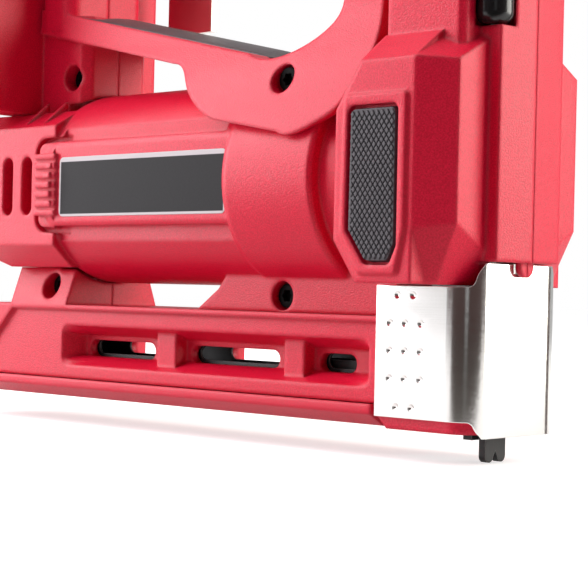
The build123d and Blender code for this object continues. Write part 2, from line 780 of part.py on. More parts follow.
# Contact tip: steel plate with two rounded lobes and a side tab under its spring
tip_top_z = 33
with BuildPart() as contact_tip:
    with BuildSketch(Plane.YZ.offset(tip_x[0])):
        with BuildLine():
            for side in (-1, 1):
                ThreePointArc(
                    (side * tip_half, tip_foot_z + 2),
                    (side * (tip_half + 0.9) / 2, tip_foot_z),
                    (side * 0.9, tip_foot_z + 1.6),
                )
                Line((side * 0.9, tip_foot_z + 1.6), (0, tip_foot_z + 3.2))
            Polyline(
                (tip_half, tip_foot_z + 2),
                (tip_half, tip_top_z),
                (-9, tip_top_z),
                (-9, tip_top_z - 3),
                (-tip_half, tip_top_z - 3),
                (-tip_half, tip_foot_z + 2),
            )
        make_face()
    extrude(amount=tip_x[1] - tip_x[0])
contact_tip.part.label = "contact_tip"
export_step(contact_tip.part, "parts/contact_tip.step")

# Return spring of the contact tip
with BuildPart() as tip_spring:
    with BuildSketch(Plane.XY.offset(tip_top_z + fit)):
        with Locations(((tip_x[0] + tip_x[1]) / 2, -7.3)):
            Circle(1.3)
            Circle(0.8, mode=Mode.SUBTRACT)
    extrude(amount=tip_travel + 6.6 - fit)
tip_spring.part.label = "tip_spring"
export_step(tip_spring.part, "parts/tip_spring.step")

# Driver blade
blade_z = (-1, 68)
with BuildPart() as driver_blade:
    with BuildSketch(Plane.XY.offset(blade_z[0])):
        with Locations((driver_x, 0)):
            Rectangle(blade_thickness, 2 * blade_half)
    extrude(amount=blade_z[1] - blade_z[0])
driver_blade.part.label = "driver_blade"
export_step(driver_blade.part, "parts/driver_blade.step")

# Carriage that the lifter raises and the spring throws down, sliding on the guide rods
with BuildPart() as carriage:
    with BuildSketch(Plane.XY.offset(carriage_z[0])) as carriage_plan:
        with Locations((rod_x, 0)):
            RectangleRounded(8, 2 * rod_y + 8.6, 2)
        with Locations((116.6, 0)):
            RectangleRounded(13, 18, 2)
        with Locations((rod_x, rod_y), (rod_x, -rod_y)):
            Circle(rod_r + slip, mode=Mode.SUBTRACT)
    extrude(amount=carriage_z[1] - carriage_z[0])
    with Locations((driver_x, 0, carriage_z[0] + 4)):
        Box(blade_thickness + 0.1, 2 * blade_half + 0.1, 12.2, mode=Mode.SUBTRACT)
    with Locations((108.2, -15.65, 64)):
        Box(4.4, 3.3, 5)
carriage.part.label = "carriage"
export_step(carriage.part, "parts/carriage.step")

# Two guide rods, the base and the cap that hold them, and the bumper that stops the carriage
rod_z = (47.6, 190.6)
with BuildPart() as guide_rods:
    with BuildSketch(Plane.XY.offset(rod_z[0])):
        with Locations((rod_x, rod_y), (rod_x, -rod_y)):
            Circle(rod_r)
    extrude(amount=rod_z[1] - rod_z[0])
guide_rods.part.label = "guide_rods"
export_step(guide_rods.part, "parts/guide_rods.step")

with BuildPart() as rod_base:
    with BuildSketch(Plane.XY.offset(47.2)):
        with Locations((113.5, 0)):
            RectangleRounded(14.4, 36.4, 2)
        with Locations((rod_x, rod_y), (rod_x, -rod_y)):
            Circle(rod_r + seat, mode=Mode.SUBTRACT)
        with Locations((driver_x, 0)):
            Rectangle(blade_thickness + 0.8, 2 * blade_half + 0.8, mode=Mode.SUBTRACT)
    extrude(amount=4)
rod_base.part.label = "rod_base"
export_step(rod_base.part, "parts/rod_base.step")

with BuildPart() as bumper:
    with BuildSketch(Plane.XY.offset(51.4)):
        with Locations((113.5, 0)):
            RectangleRounded(13.4, 35, 4)
        with Locations((rod_x, rod_y), (rod_x, -rod_y)):
            Circle(rod_r + seat, mode=Mode.SUBTRACT)
        with Locations((driver_x, 0)):
            Rectangle(blade_thickness + 0.8, 2 * blade_half + 0.8, mode=Mode.SUBTRACT)
    extrude(amount=carriage_z[0] - fit - 51.4)
bumper.part.label = "bumper"
export_step(bumper.part, "parts/bumper.step")

with BuildPart() as rod_cap:
    with BuildSketch(Plane.XY.offset(185)):
        with Locations((113.5, 0)):
            RectangleRounded(14.4, 36.4, 2)
        with Locations((rod_x, rod_y), (rod_x, -rod_y)):
            Circle(rod_r + seat, mode=Mode.SUBTRACT)
    extrude(amount=6.2)
rod_cap.part.label = "rod_cap"
export_step(rod_cap.part, "parts/rod_cap.step")

# Drive spring between the carriage and the rod cap
with BuildPart() as drive_spring:
    with BuildSketch(Plane.XY.offset(carriage_z[1] + fit)):
        with Locations((spring_x, 0)):
            Circle(spring_r)
            Circle(spring_r - 2.2, mode=Mode.SUBTRACT)
    extrude(amount=185 - carriage_z[1] - 2 * fit)
drive_spring.part.label = "drive_spring"
export_step(drive_spring.part, "parts/drive_spring.step")

# Lifter: bevel gear with lift pins on its outer face
gear_plane_y = -pinion_teeth * bevel_module / 2
pinion_plane_x = lifter_x - lifter_teeth * bevel_module / 2
lifter_outline = bevel_outline(lifter_teeth, pinion_teeth, bevel_module, turn=pi / lifter_teeth)
with BuildPart() as lifter_gear:
    for scale in (1.2, bevel_small_end):
        with BuildSketch(Plane.XZ.offset(-gear_plane_y * scale)):
            with BuildLine():
                Polyline(*[(lifter_x + scale * x, axis_z + scale * z) for x, z in lifter_outline], close=True)
            make_face()
    loft(ruled=True)
    # Trim the teeth to their back cone, then the web, the hub and the bore
    with BuildSketch(Plane.XY.offset(axis_z)):
        with BuildLine():
            Polyline(
                (lifter_x, 0),
                (lifter_x - 2.5 * gear_plane_y, 0),
                (lifter_x - 1.9 * gear_plane_y, 1.2 * gear_plane_y),
                (lifter_x, 1.2 * gear_plane_y),
                close=True,
            )
        make_face()
    revolve(axis=Axis((lifter_x, 0, axis_z), (0, 1, 0)), mode=Mode.INTERSECT)
    with BuildSketch(Plane.XZ.offset(-1.2 * gear_plane_y)):
        with Locations((lifter_x, axis_z)):
            Circle(-1.9 * gear_plane_y)
    extrude(amount=4.6)
    with BuildSketch(Plane.XZ.offset(4.6)):
        with Locations((lifter_x, axis_z)):
            Circle(7)
    extrude(amount=19.6)
    with BuildSketch(Plane.XZ):
        with Locations((lifter_x, axis_z)):
            Circle(4 + slip)
    extrude(amount=40, mode=Mode.SUBTRACT)
    with BuildSketch(Plane.XZ):
        with Locations((lifter_x, axis_z)):
            with PolarLocations(lift_pin_radius, 2, start_angle=50):
                Circle(2 + slip)
    extrude(amount=40, mode=Mode.SUBTRACT)
lifter_gear.part.label = "lifter_gear"
export_step(lifter_gear.part, "parts/lifter_gear.step")

with BuildPart() as lift_pins:
    with BuildSketch(Plane.XZ.offset(-gear_plane_y + 1)):
        with Locations((lifter_x, axis_z)):
            with PolarLocations(lift_pin_radius, 2, start_angle=50):
                Circle(2)
    extrude(amount=11)
lift_pins.part.label = "lift_pins"
export_step(lift_pins.part, "parts/lift_pins.step")

with BuildPart() as lifter_axle:
    with BuildSketch(Plane.XZ):
        with Locations((lifter_x, axis_z)):
            Circle(4)
    extrude(amount=26.8, both=True)
lifter_axle.part.label = "lifter_axle"
export_step(lifter_axle.part, "parts/lifter_axle.step")

with BuildPart() as axle_sleeve:
    with BuildSketch(Plane.XZ.offset(4.3)):
        with Locations((lifter_x, axis_z)):
            Circle(6)
            Circle(4 + seat, mode=Mode.SUBTRACT)
    extrude(amount=-28.5)
axle_sleeve.part.label = "axle_sleeve"
export_step(axle_sleeve.part, "parts/axle_sleeve.step")

# Bevel pinion on the planet carrier's shaft
pinion_outline = bevel_outline(pinion_teeth, lifter_teeth, bevel_module)
carrier_radius = (sun_teeth + planet_teeth) * planet_module / 2
planet_pin_r = 2.4
output_r = 5
with BuildPart() as carrier_pinion:
    with BuildSketch(Plane.YZ.offset(pinion_plane_x)):
        with BuildLine():
            Polyline(*[(y, axis_z + z) for y, z in pinion_outline], close=True)
        make_face()
    with BuildSketch(Plane.YZ.offset(lifter_x - bevel_small_end * (lifter_x - pinion_plane_x))):
        with BuildLine():
            Polyline(
                *[(bevel_small_end * y, axis_z + bevel_small_end * z) for y, z in pinion_outline],
                close=True,
            )
        make_face()
    loft(ruled=True)
    with BuildSketch(Plane.YZ.offset(36)):
        with Locations((0, axis_z)):
            Circle(16.6)
    extrude(amount=4.5)
    with BuildSketch(Plane.YZ.offset(40)):
        with Locations((0, axis_z)):
            Circle(output_r)
    extrude(amount=pinion_plane_x - 40)
    with BuildSketch(Plane.YZ.offset(20)):
        with Locations((0, axis_z)):
            with PolarLocations(carrier_radius, 3):
                Circle(planet_pin_r + slip)
    extrude(amount=30, mode=Mode.SUBTRACT)
carrier_pinion.part.label = "carrier_pinion"
export_step(carrier_pinion.part, "parts/carrier_pinion.step")

with BuildPart() as planet_pins:
    with BuildSketch(Plane.YZ.offset(planet_face_x[0] - 0.4)):
        with Locations((0, axis_z)):
            with PolarLocations(carrier_radius, 3):
                Circle(planet_pin_r)
    extrude(amount=40.4 - planet_face_x[0])
planet_pins.part.label = "planet_pins"
export_step(planet_pins.part, "parts/planet_pins.step")

# Three planets, each with a tooth gap facing the sun
planet_outline = gear_outline(planet_teeth, planet_module, 0.64, 1.0, tooth_backlash, turn=pi / planet_teeth)
for index in range(3):
    angle = 2 * pi * index / 3
    middle_y = carrier_radius * cos(angle)
    middle_z = axis_z + carrier_radius * sin(angle)
    with BuildPart() as planet:
        with BuildSketch(Plane.YZ.offset(planet_face_x[0])):
            with BuildLine():
                Polyline(
                    *[
                        (middle_y + y * cos(angle) - z * sin(angle), middle_z + y * sin(angle) + z * cos(angle))
                        for y, z in planet_outline
                    ],
                    close=True,
                )
            make_face()
            with Locations((middle_y, middle_z)):
                Circle(planet_pin_r + slip, mode=Mode.SUBTRACT)
        extrude(amount=planet_face_x[1] - planet_face_x[0])
    planet.part.label = f"planet_{index + 1}"
    export_step(planet.part, f"parts/planet_{index + 1}.step")

# Ring gear: the teeth are the gaps of a 48 tooth gear cut into the ring
ring_outline = gear_outline(ring_teeth, planet_module, 1.0, 0.64, -tooth_backlash, turn=pi / ring_teeth)
ring_r = 23
with BuildPart() as ring_gear:
    with BuildSketch(Plane.YZ.offset(planet_face_x[0] - 1)):
        with Locations((0, axis_z)):
            Circle(ring_r)
        with BuildLine():
            Polyline(*[(y, axis_z + z) for y, z in ring_outline], close=True)
        make_face(mode=Mode.SUBTRACT)
    extrude(amount=planet_face_x[1] - planet_face_x[0] + 2)
ring_gear.part.label = "ring_gear"
export_step(ring_gear.part, "parts/ring_gear.step")

# Gear case round the planets, with the seat of the output bearing
with BuildPart() as gear_case:
    with BuildSketch(Plane.XZ):
        with BuildLine():
            Polyline(
                (case_x[0], axis_z + 7),
                (case_x[0], axis_z + case_r),
                (case_x[1], axis_z + case_r),
                (case_x[1], axis_z + output_r + 0.6),
                (60, axis_z + output_r + 0.6),
                (60, axis_z + 11 + seat),
                (46, axis_z + 11 + seat),
                (46, axis_z + 17.4),
                (34.2, axis_z + 17.4),
                (34.2, axis_z + ring_r + seat),
                (17.4, axis_z + ring_r + seat),
                (17.4, axis_z + 7),
                close=True,
            )
        make_face()
    revolve(axis=motor_axis)
gear_case.part.label = "gear_case"
export_step(gear_case.part, "parts/gear_case.step")

with BuildPart() as output_bearing:
    with BuildSketch(Plane.YZ.offset(46.4)):
        with Locations((0, axis_z)):
            Circle(11)
            Circle(output_r + slip, mode=Mode.SUBTRACT)
    extrude(amount=13.3)
output_bearing.part.label = "output_bearing"
export_step(output_bearing.part, "parts/output_bearing.step")

# Motor: can, bearings, rotor on its shaft, sun pinion and fan
bearing_r = 6.5
with BuildPart() as motor_can:
    with BuildSketch(Plane.XZ):
        with BuildLine():
            Polyline(
                (can_x[0], axis_z + bearing_r + slip),
                (can_x[0], axis_z + can_r),
                (can_x[1], axis_z + can_r),
                (can_x[1], axis_z + bearing_r + slip),
                (can_x[1] - 5, axis_z + bearing_r + slip),
                (can_x[1] - 5, axis_z + 21),
                (can_x[0] + 5, axis_z + 21),
                (can_x[0] + 5, axis_z + bearing_r + slip),
                close=True,
            )
        make_face()
    revolve(axis=motor_axis)
motor_can.part.label = "motor_can"
export_step(motor_can.part, "parts/motor_can.step")

with BuildPart() as motor_bearings:
    for start in (can_x[0] + 0.2, can_x[1] - 4.8):
        with BuildSketch(Plane.YZ.offset(start)):
            with Locations((0, axis_z)):
                Circle(bearing_r)
                Circle(shaft_r + slip, mode=Mode.SUBTRACT)
        extrude(amount=4.6)
motor_bearings.part.label = "motor_bearings"
export_step(motor_bearings.part, "parts/motor_bearings.step")

with BuildPart() as rotor:
    with BuildSketch(Plane.XZ):
        with BuildLine():
            Polyline(
                (-64, axis_z),
                (-64, axis_z + shaft_r),
                (can_x[0] + 7, axis_z + shaft_r),
                (can_x[0] + 7, axis_z + 20),
                (can_x[1] - 7, axis_z + 20),
                (can_x[1] - 7, axis_z + shaft_r),
                (34.5, axis_z + shaft_r),
                (34.5, axis_z),
                close=True,
            )
        make_face()
    revolve(axis=motor_axis)
rotor.part.label = "rotor"
export_step(rotor.part, "parts/rotor.step")

sun_outline = gear_outline(sun_teeth, planet_module, 0.64, 1.0, tooth_backlash)
with BuildPart() as sun_pinion:
    with BuildSketch(Plane.YZ.offset(planet_face_x[0] - 1)):
        with BuildLine():
            Polyline(*[(y, axis_z + z) for y, z in sun_outline], close=True)
        make_face()
        with Locations((0, axis_z)):
            Circle(shaft_r + 0.02, mode=Mode.SUBTRACT)
    extrude(amount=planet_face_x[1] - planet_face_x[0] + 2)
sun_pinion.part.label = "sun_pinion"
export_step(sun_pinion.part, "parts/sun_pinion.step")

with BuildPart() as fan:
    with BuildSketch(Plane.YZ.offset(-60)):
        with Locations((0, axis_z)):
            Circle(7)
            with PolarLocations(12.6, 9):
                Rectangle(13.6, 1.6, rotation=28)
    extrude(amount=9)
    with BuildSketch(Plane.YZ.offset(-51)):
        with Locations((0, axis_z)):
            Circle(fan_r)
    extrude(amount=1.5)
    with BuildSketch(Plane.YZ.offset(-70)):
        with Locations((0, axis_z)):
            Circle(shaft_r + 0.02)
    extrude(amount=40, mode=Mode.SUBTRACT)
fan.part.label = "fan"
export_step(fan.part, "parts/fan.step")

# Adjusting wheel on its pin in the corner window
with BuildPart() as depth_wheel:
    with BuildSketch(Plane.XY.offset(108.9)):
        with Locations((wheel_x, wheel_y)):
            Circle(wheel_r)
            Circle(1.5 + slip, mode=Mode.SUBTRACT)
    extrude(amount=14.4)
    fillet(depth_wheel.edges().filter_by(GeomType.CIRCLE).sort_by(SortBy.RADIUS)[-2:], 1.6)
depth_wheel.part.label = "depth_wheel"
export_step(depth_wheel.part, "parts/depth_wheel.step")

with BuildPart() as wheel_pin:
    with BuildSketch(Plane.XY.offset(104.3)):
        with Locations((wheel_x, wheel_y)):
            Circle(1.5)
    extrude(amount=23.4)
wheel_pin.part.label = "wheel_pin"
export_step(wheel_pin.part, "parts/wheel_pin.step")

# Rubber pads in the head's side pockets
for side, name in ((-1, "side_pad_right"), (1, "side_pad_left")):
    with BuildPart() as side_pad:
        with BuildSketch(Plane.XZ.offset(-side * (pad_frame_half - 2.3))) as pad_face:
            with BuildLine():
                Polyline((101.4, 45.2), (109.3, 45.2), (111.4, 50), (111.2, 86.4), (95.1, 86.4), (94.9, 54), close=True)
            make_face()
            fillet(pad_face.vertices(), 2)
        extrude(amount=-side * 2.1, taper=12)
    side_pad.part.label = name
    export_step(side_pad.part, f"parts/{name}.step")

# Magazine drawer: the lower strip of the magazine, with two ears for the latch
drawer_x = (-96, plate_rear_x - 2.6)
ear_y = (8.4, 11.4)
latch_x = -99.2
latch_z = 5.6
latch_pin_r = 1.6
with BuildPart() as drawer_rail:
    with BuildSketch(Plane.YZ.offset(drawer_x[0])):
        with BuildLine():
            Polyline(
                (0, 0),
                (14, 0),
                (magazine_half, 3.5),
                (magazine_half, drawer_top_z),
                (channel_half - 0.4, drawer_top_z),
                (channel_half - 0.4, 12.5),
                (0, 12.5),
                close=True,
            )
        make_face()
        mirror(about=Plane.YZ)
    extrude(amount=drawer_x[1] - drawer_x[0])
    with Locations((-96, 0, 10)):
        Box(2.4, 40, 7.4, mode=Mode.SUBTRACT)
    with BuildSketch(Plane.XZ.offset(-ear_y[1])):
        with BuildLine():
            Polyline((-95.4, 0.6), (-101, 0.6), (-102.6, 2.4), (-102.6, 8), (-101, 9.4), (-95.4, 9.4), close=True)
        make_face()
    extrude(amount=2 * ear_y[1])
    with Locations((-99.6, 0, 6)):
        Box(8.8, 2 * ear_y[0], 12, mode=Mode.SUBTRACT)
    with BuildSketch(Plane.XZ):
        with Locations((latch_x, latch_z)):
            Circle(latch_pin_r + slip)
    extrude(amount=20, both=True, mode=Mode.SUBTRACT)
drawer_rail.part.label = "drawer_rail"
export_step(drawer_rail.part, "parts/drawer_rail.step")

with BuildPart() as latch_pin:
    with BuildSketch(Plane.XZ):
        with Locations((latch_x, latch_z)):
            Circle(latch_pin_r)
    extrude(amount=ear_y[1] - 0.2, both=True)
latch_pin.part.label = "latch_pin"
export_step(latch_pin.part, "parts/latch_pin.step")

# Latch lever at the rear end of the drawer
with BuildPart() as drawer_latch:
    with BuildSketch(Plane.XZ) as latch_side:
        with BuildLine():
            Polyline((-97, 3.4), (-101.6, 3.4), (-102.4, 16), (-105.6, 22), (-104, 24), (-95.7, 24), (-95.7, 8), close=True)
        make_face()
        fillet(latch_side.vertices(), 1)
        with Locations((latch_x, latch_z)):
            Circle(latch_pin_r + slip, mode=Mode.SUBTRACT)
    extrude(amount=ear_y[0] - fit, both=True)
drawer_latch.part.label = "drawer_latch"
export_step(drawer_latch.part, "parts/drawer_latch.step")

# Steel channel that holds the staples, with windows behind those of the magazine
rail_half = channel_half - 0.4
rail_z = (12.6, channel_top_z - 1)
with BuildPart() as staple_rail:
    with BuildSketch(Plane.YZ.offset(-94)):
        with Locations((0, (rail_z[0] + rail_z[1]) / 2)):
            Rectangle(2 * rail_half, rail_z[1] - rail_z[0])
        with Locations((0, (rail_z[0] + rail_z[1]) / 2 + 0.8)):
            Rectangle(2 * rail_half - 1.4, rail_z[1] - rail_z[0], mode=Mode.SUBTRACT)
    extrude(amount=182)
    with BuildSketch(Plane.XZ):
        for start, end in window_xs:
            with Locations(((start + end) / 2, (window_z[0] + window_z[1]) / 2 + 0.5)):
                SlotOverall(end - start - 1.6, window_z[1] - window_z[0] - 1)
    extrude(amount=20, both=True, mode=Mode.SUBTRACT)
staple_rail.part.label = "staple_rail"
export_step(staple_rail.part, "parts/staple_rail.step")

# Pusher and the roll of its flat spring
with BuildPart() as pusher:
    with BuildSketch(Plane.XZ) as pusher_side:
        with BuildLine():
            Polyline(
                (58, 13.7),
                (112, 13.7),
                (112, channel_top_z - 0.5),
                (93, channel_top_z - 0.5),
                (90, 22),
                (90, 17.2),
                (58, 17.2),
                close=True,
            )
        make_face()
    extrude(amount=5.2, both=True)
pusher.part.label = "pusher"
export_step(pusher.part, "parts/pusher.step")

with BuildPart() as pusher_spring:
    with BuildSketch(Plane.XZ):
        with Locations((84, 20.9)):
            Circle(3.5)
            Circle(1.6, mode=Mode.SUBTRACT)
    extrude(amount=4, both=True)
pusher_spring.part.label = "pusher_spring"
export_step(pusher_spring.part, "parts/pusher_spring.step")

# Trigger under the front of the grip, its spring and the switch above it
trigger_x = (46, 72)
trigger_half = 9
trigger_top_z = 167
with BuildPart() as trigger:
    with BuildSketch(Plane.XZ):
        with BuildLine():
            Polyline((trigger_x[0], 156), (trigger_x[0], trigger_top_z), (trigger_x[1], trigger_top_z), (trigger_x[1], 150))
            Spline((trigger_x[1], 150), (68, 146.6), (60, 151.4), (trigger_x[0], 156))
        make_face()
    extrude(amount=trigger_half, both=True)
    fillet(trigger.edges().filter_by(GeomType.BSPLINE), 2)
trigger.part.label = "trigger"
export_step(trigger.part, "parts/trigger.step")

switch_z = (174.6, 189.8)
with BuildPart() as trigger_spring:
    with BuildSketch(Plane.XY.offset(trigger_top_z + fit)):
        with Locations((59, 0)):
            Circle(3)
            Circle(2, mode=Mode.SUBTRACT)
    extrude(amount=switch_z[0] - trigger_top_z - 2 * fit)
trigger_spring.part.label = "trigger_spring"
export_step(trigger_spring.part, "parts/trigger_spring.step")

with BuildPart() as trigger_switch:
    with BuildSketch(Plane.XY.offset(switch_z[0])):
        with Locations((60, 0)):
            RectangleRounded(34, 20, 2)
    extrude(amount=switch_z[1] - switch_z[0])
trigger_switch.part.label = "trigger_switch"
export_step(trigger_switch.part, "parts/trigger_switch.step")

with BuildPart() as control_board:
    with Locations((-8, 0, 166)):
        Box(76, 24.4, 1.6)
    with Locations((-30, 0, 170)):
        Box(14, 12, 7)
    with Locations((4, 5, 169), (18, -4, 169)):
        Box(8, 8, 5)
control_board.part.label = "control_board"
export_step(control_board.part, "parts/control_board.step")

with BuildPart() as terminal_block:
    with Locations((-75, 0, 156)):
        Box(13.6, 24, 12)
    with Locations((-80, -7, 156), (-80, 7, 156)):
        Box(6, 3, 14, mode=Mode.SUBTRACT)
terminal_block.part.label = "terminal_block"
export_step(terminal_block.part, "parts/terminal_block.step")

# Belt hook: bent steel strip screwed to the left side of the grip
hook_x = (-53, -31)
hook_thickness = 2.5
with BuildPart() as belt_hook:
    with BuildSketch(Plane.YZ.offset(hook_x[0])):
        with BuildLine():
            FilletPolyline((18.5, 189), (18.5, 165), (35.5, 150), (35.5, 127), radius=5)
        trace(line_width=hook_thickness)
    extrude(amount=hook_x[1] - hook_x[0])
    with BuildSketch(Plane.XZ):
        with Locations((-42, 177)):
            Circle(2.5 + seat)
    extrude(amount=-30, mode=Mode.SUBTRACT)
belt_hook.part.label = "belt_hook"
export_step(belt_hook.part, "parts/belt_hook.step")

with BuildPart() as hook_screw:
    with BuildSketch(Plane.XZ.offset(-13.3)):
        with Locations((-42, 177)):
            Circle(2.5)
    extrude(amount=-6.6)
    with BuildSketch(Plane.XZ.offset(-19.85)):
        with Locations((-42, 177)):
            Circle(4.6)
    extrude(amount=-3)
    fillet(hook_screw.faces().sort_by(Axis.Y)[-1].edges(), 1)
hook_screw.part.label = "hook_screw"
export_step(hook_screw.part, "parts/hook_screw.step")

# Battery: front cover with the tongue's channel, rear case, ten cells and the release button
cell_xs = (-94, -112.6)
cell_low_z = battery_z[0] + 12.6
cell_step = 18.6
with BuildPart() as battery:
    with BuildSketch(Plane.XY.offset(battery_z[0])):
        with Locations(((battery_x[0] + battery_x[1]) / 2, 0)):
            RectangleRounded(battery_x[1] - battery_x[0], 2 * battery_half, 5)
    extrude(amount=battery_z[1] - battery_z[0])
    chamfer(battery.faces().sort_by(Axis.Z)[-1].edges(), 2.5)
    chamfer(battery.faces().sort_by(Axis.Z)[0].edges(), 2.5)
    with Locations((-103.3, 0, cell_low_z + 2 * cell_step + 0.1)):
        Box(37.6, cell_length + 0.8, 93.6, mode=Mode.SUBTRACT)
    with BuildSketch(Plane.XY.offset(battery_z[0] - 1)):
        with Locations((-77, 0)):
            Rectangle(3, 2 * tongue_neck_half + 0.8)
        with Locations((-80.45, 0)):
            Rectangle(3.9, 2 * tongue_half + 0.8)
    extrude(amount=tongue_z[1] + 0.4 - battery_z[0] + 1, mode=Mode.SUBTRACT)
    with Locations((-127.6, 0, battery_z[0] + 81)):
        Box(7.2, 28.8, 20, mode=Mode.SUBTRACT)

with BuildPart() as battery_cover:
    add(battery.part)
    split(bisect_by=Plane.YZ.offset(battery_split_x + parting / 2), keep=Keep.TOP)
battery_cover.part.label = "battery_cover"
export_step(battery_cover.part, "parts/battery_cover.step")

with BuildPart() as battery_case:
    add(battery.part)
    split(bisect_by=Plane.YZ.offset(battery_split_x - parting / 2), keep=Keep.BOTTOM)
battery_case.part.label = "battery_case"
export_step(battery_case.part, "parts/battery_case.step")

with BuildPart() as battery_cells:
    with BuildSketch(Plane.XZ):
        for x in cell_xs:
            with Locations(*[(x, cell_low_z + cell_step * k) for k in range(5)]):
                Circle(cell_r)
    extrude(amount=cell_length / 2, both=True)
battery_cells.part.label = "battery_cells"
export_step(battery_cells.part, "parts/battery_cells.step")

with BuildPart() as battery_button:
    with Locations((-129, 0, battery_z[0] + 81)):
        Box(4.4, 28, 19.2)
    fillet(battery_button.faces().sort_by(Axis.X)[0].edges(), 1.2)
battery_button.part.label = "battery_button"
export_step(battery_button.part, "parts/battery_button.step")

# Housing screws, heads in the wells of the right halves
with BuildPart() as housing_screws:
    for x, z, head, tip in body_screws + handle_screws + (plate_screw, pillar_screw):
        with BuildSketch(Plane.XZ.offset(-tip)):
            with Locations((x, z)):
                Circle(screw_shank_r)
        extrude(amount=head + tip)
        with BuildSketch(Plane.XZ.offset(head)):
            with Locations((x, z)):
                Circle(screw_head_r)
        extrude(amount=screw_head_height)
housing_screws.part.label = "housing_screws"
export_step(housing_screws.part, "parts/housing_screws.step")
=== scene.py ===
import math
import bmesh
import bpy
from mathutils import Matrix, Vector


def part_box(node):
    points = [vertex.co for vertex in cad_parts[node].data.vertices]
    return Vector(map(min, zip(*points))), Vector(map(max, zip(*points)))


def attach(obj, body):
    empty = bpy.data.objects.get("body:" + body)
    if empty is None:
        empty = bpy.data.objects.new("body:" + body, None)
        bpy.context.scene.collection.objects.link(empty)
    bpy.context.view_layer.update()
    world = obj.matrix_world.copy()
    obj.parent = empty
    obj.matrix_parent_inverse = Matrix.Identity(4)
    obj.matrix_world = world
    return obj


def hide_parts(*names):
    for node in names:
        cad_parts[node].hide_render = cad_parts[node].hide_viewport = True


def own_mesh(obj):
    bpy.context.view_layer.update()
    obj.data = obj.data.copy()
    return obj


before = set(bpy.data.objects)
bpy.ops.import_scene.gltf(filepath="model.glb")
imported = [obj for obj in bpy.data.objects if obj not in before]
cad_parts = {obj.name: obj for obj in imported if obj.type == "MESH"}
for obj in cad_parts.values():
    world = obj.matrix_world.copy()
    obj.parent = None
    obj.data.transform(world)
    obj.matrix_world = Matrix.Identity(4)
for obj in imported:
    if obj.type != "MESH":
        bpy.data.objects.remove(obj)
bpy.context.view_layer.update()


# Motor can and its two ball bearings: a deep-drawn steel cup with pressed ends, zinc plated.
# It is clamped between the ribs of the barrel, and the bearings are pressed into its ends.
class Tone:
    """A value in a finish's node tree. Sums on it add Math nodes, and node() adds any other kind."""

    def __init__(self, tree, socket=None):
        self.tree = tree
        self.socket = socket

    def node(self, kind, settings, sockets, out=0):
        """Adds a node. Its settings are set first, then the values or links of its sockets."""
        made = self.tree.nodes.new("ShaderNode" + kind)
        for name, value in settings.items():
            setattr(made, name, value)
        for name, value in sockets.items():
            if isinstance(value, Tone):
                self.tree.links.new(value.socket, made.inputs[name])
            else:
                made.inputs[name].default_value = value
        return Tone(self.tree, made.outputs[out] if len(made.outputs) else None)

    def reckon(self, operation, first, second=0.0):
        return self.node("Math", {"operation": operation}, {0: first, 1: second})

    def __add__(self, other):
        return self.reckon("ADD", self, other)

    __radd__ = __add__

    def __sub__(self, other):
        return self.reckon("SUBTRACT", self, other)

    def __rsub__(self, other):
        return self.reckon("SUBTRACT", other, self)

    def __mul__(self, other):
        return self.reckon("MULTIPLY", self, other)

    __rmul__ = __mul__

    def held(self, low, high):
        """This value from low to high, stretched to run from 0 to 1."""
        return self.node("MapRange", {"clamp": True}, {"Value": self, "From Min": low, "From Max": high})

    def between(self, low, high):
        """A colour between two colours, as far along as this value says."""
        first = low if isinstance(low, Tone) else (*low, 1.0)
        second = high if isinstance(high, Tone) else (*high, 1.0)
        return self.node("Mix", {"data_type": "RGBA"}, {0: self, 6: first, 7: second}, 2)


def finish(name, fixed, varied):
    """A finish with fixed values on the shader's own sockets, and the ones that vary over the piece."""
    material = bpy.data.materials.new(name)
    material.use_nodes = True
    material.node_tree.nodes.clear()
    start = Tone(material.node_tree)
    spot = start.node("TexCoord", {}, {}, "Object")
    shader = start.node("BsdfPrincipled", {}, {**fixed, **varied(start, spot)})
    start.node("OutputMaterial", {}, {"Surface": shader})
    return material


def cloud(start, spot, scale, detail=3.0, stretch=(1.0, 1.0, 1.0)):
    """Uneven patches, drawn out along the axes where stretch is small."""
    drawn = start.node("VectorMath", {"operation": "MULTIPLY"}, {0: spot, 1: stretch})
    return start.node("TexNoise", {}, {"Vector": drawn, "Scale": scale, "Detail": detail})


def relief(start, height, depth, edge_round):
    """Fine relief on a surface whose edges are broken by a small radius, both in metres."""
    rounded = start.node("Bevel", {"samples": 6}, {"Radius": edge_round})
    return start.node("Bump", {}, {"Height": height, "Distance": depth, "Normal": rounded})


def coat(material, *nodes):
    """Gives a finish to CAD pieces that keep their own shape."""
    for node in nodes:
        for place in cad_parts[node].material_slots:
            place.material = material


def zinc(start, spot):
    bloom = cloud(start, spot, scale=160.0, detail=5.0)
    drawn = cloud(start, spot, scale=900.0, detail=2.0, stretch=(0.05, 1.0, 1.0))
    return {
        "Base Color": bloom.between((0.36, 0.37, 0.36), (0.55, 0.54, 0.5)),
        "Roughness": 0.28 + 0.2 * bloom,
        "Normal": relief(start, drawn, depth=0.00004, edge_round=0.0006),
    }


coat(finish("zinc_plate", {"Metallic": 1.0}, zinc), "motor_can", "motor_bearings")


# Rotor: a stack of thin iron stampings on a steel shaft, varnished and turned true.
# It runs in the can's bearings, and the sun pinion and the fan are pressed on its ends.
def stampings(start, spot):
    bands = {"Vector": spot, "Scale": 320.0, "Distortion": 0.2}
    layer = start.node("TexWave", {"bands_direction": "X"}, bands, 1)
    rust = cloud(start, spot, scale=240.0, detail=4.0)
    return {
        "Base Color": rust.between((0.12, 0.12, 0.125), (0.24, 0.22, 0.2)),
        "Roughness": 0.38 + 0.2 * rust,
        "Normal": relief(start, layer, depth=0.00012, edge_round=0.0004),
    }


coat(finish("stamped_iron", {"Metallic": 1.0}, stampings), "rotor")


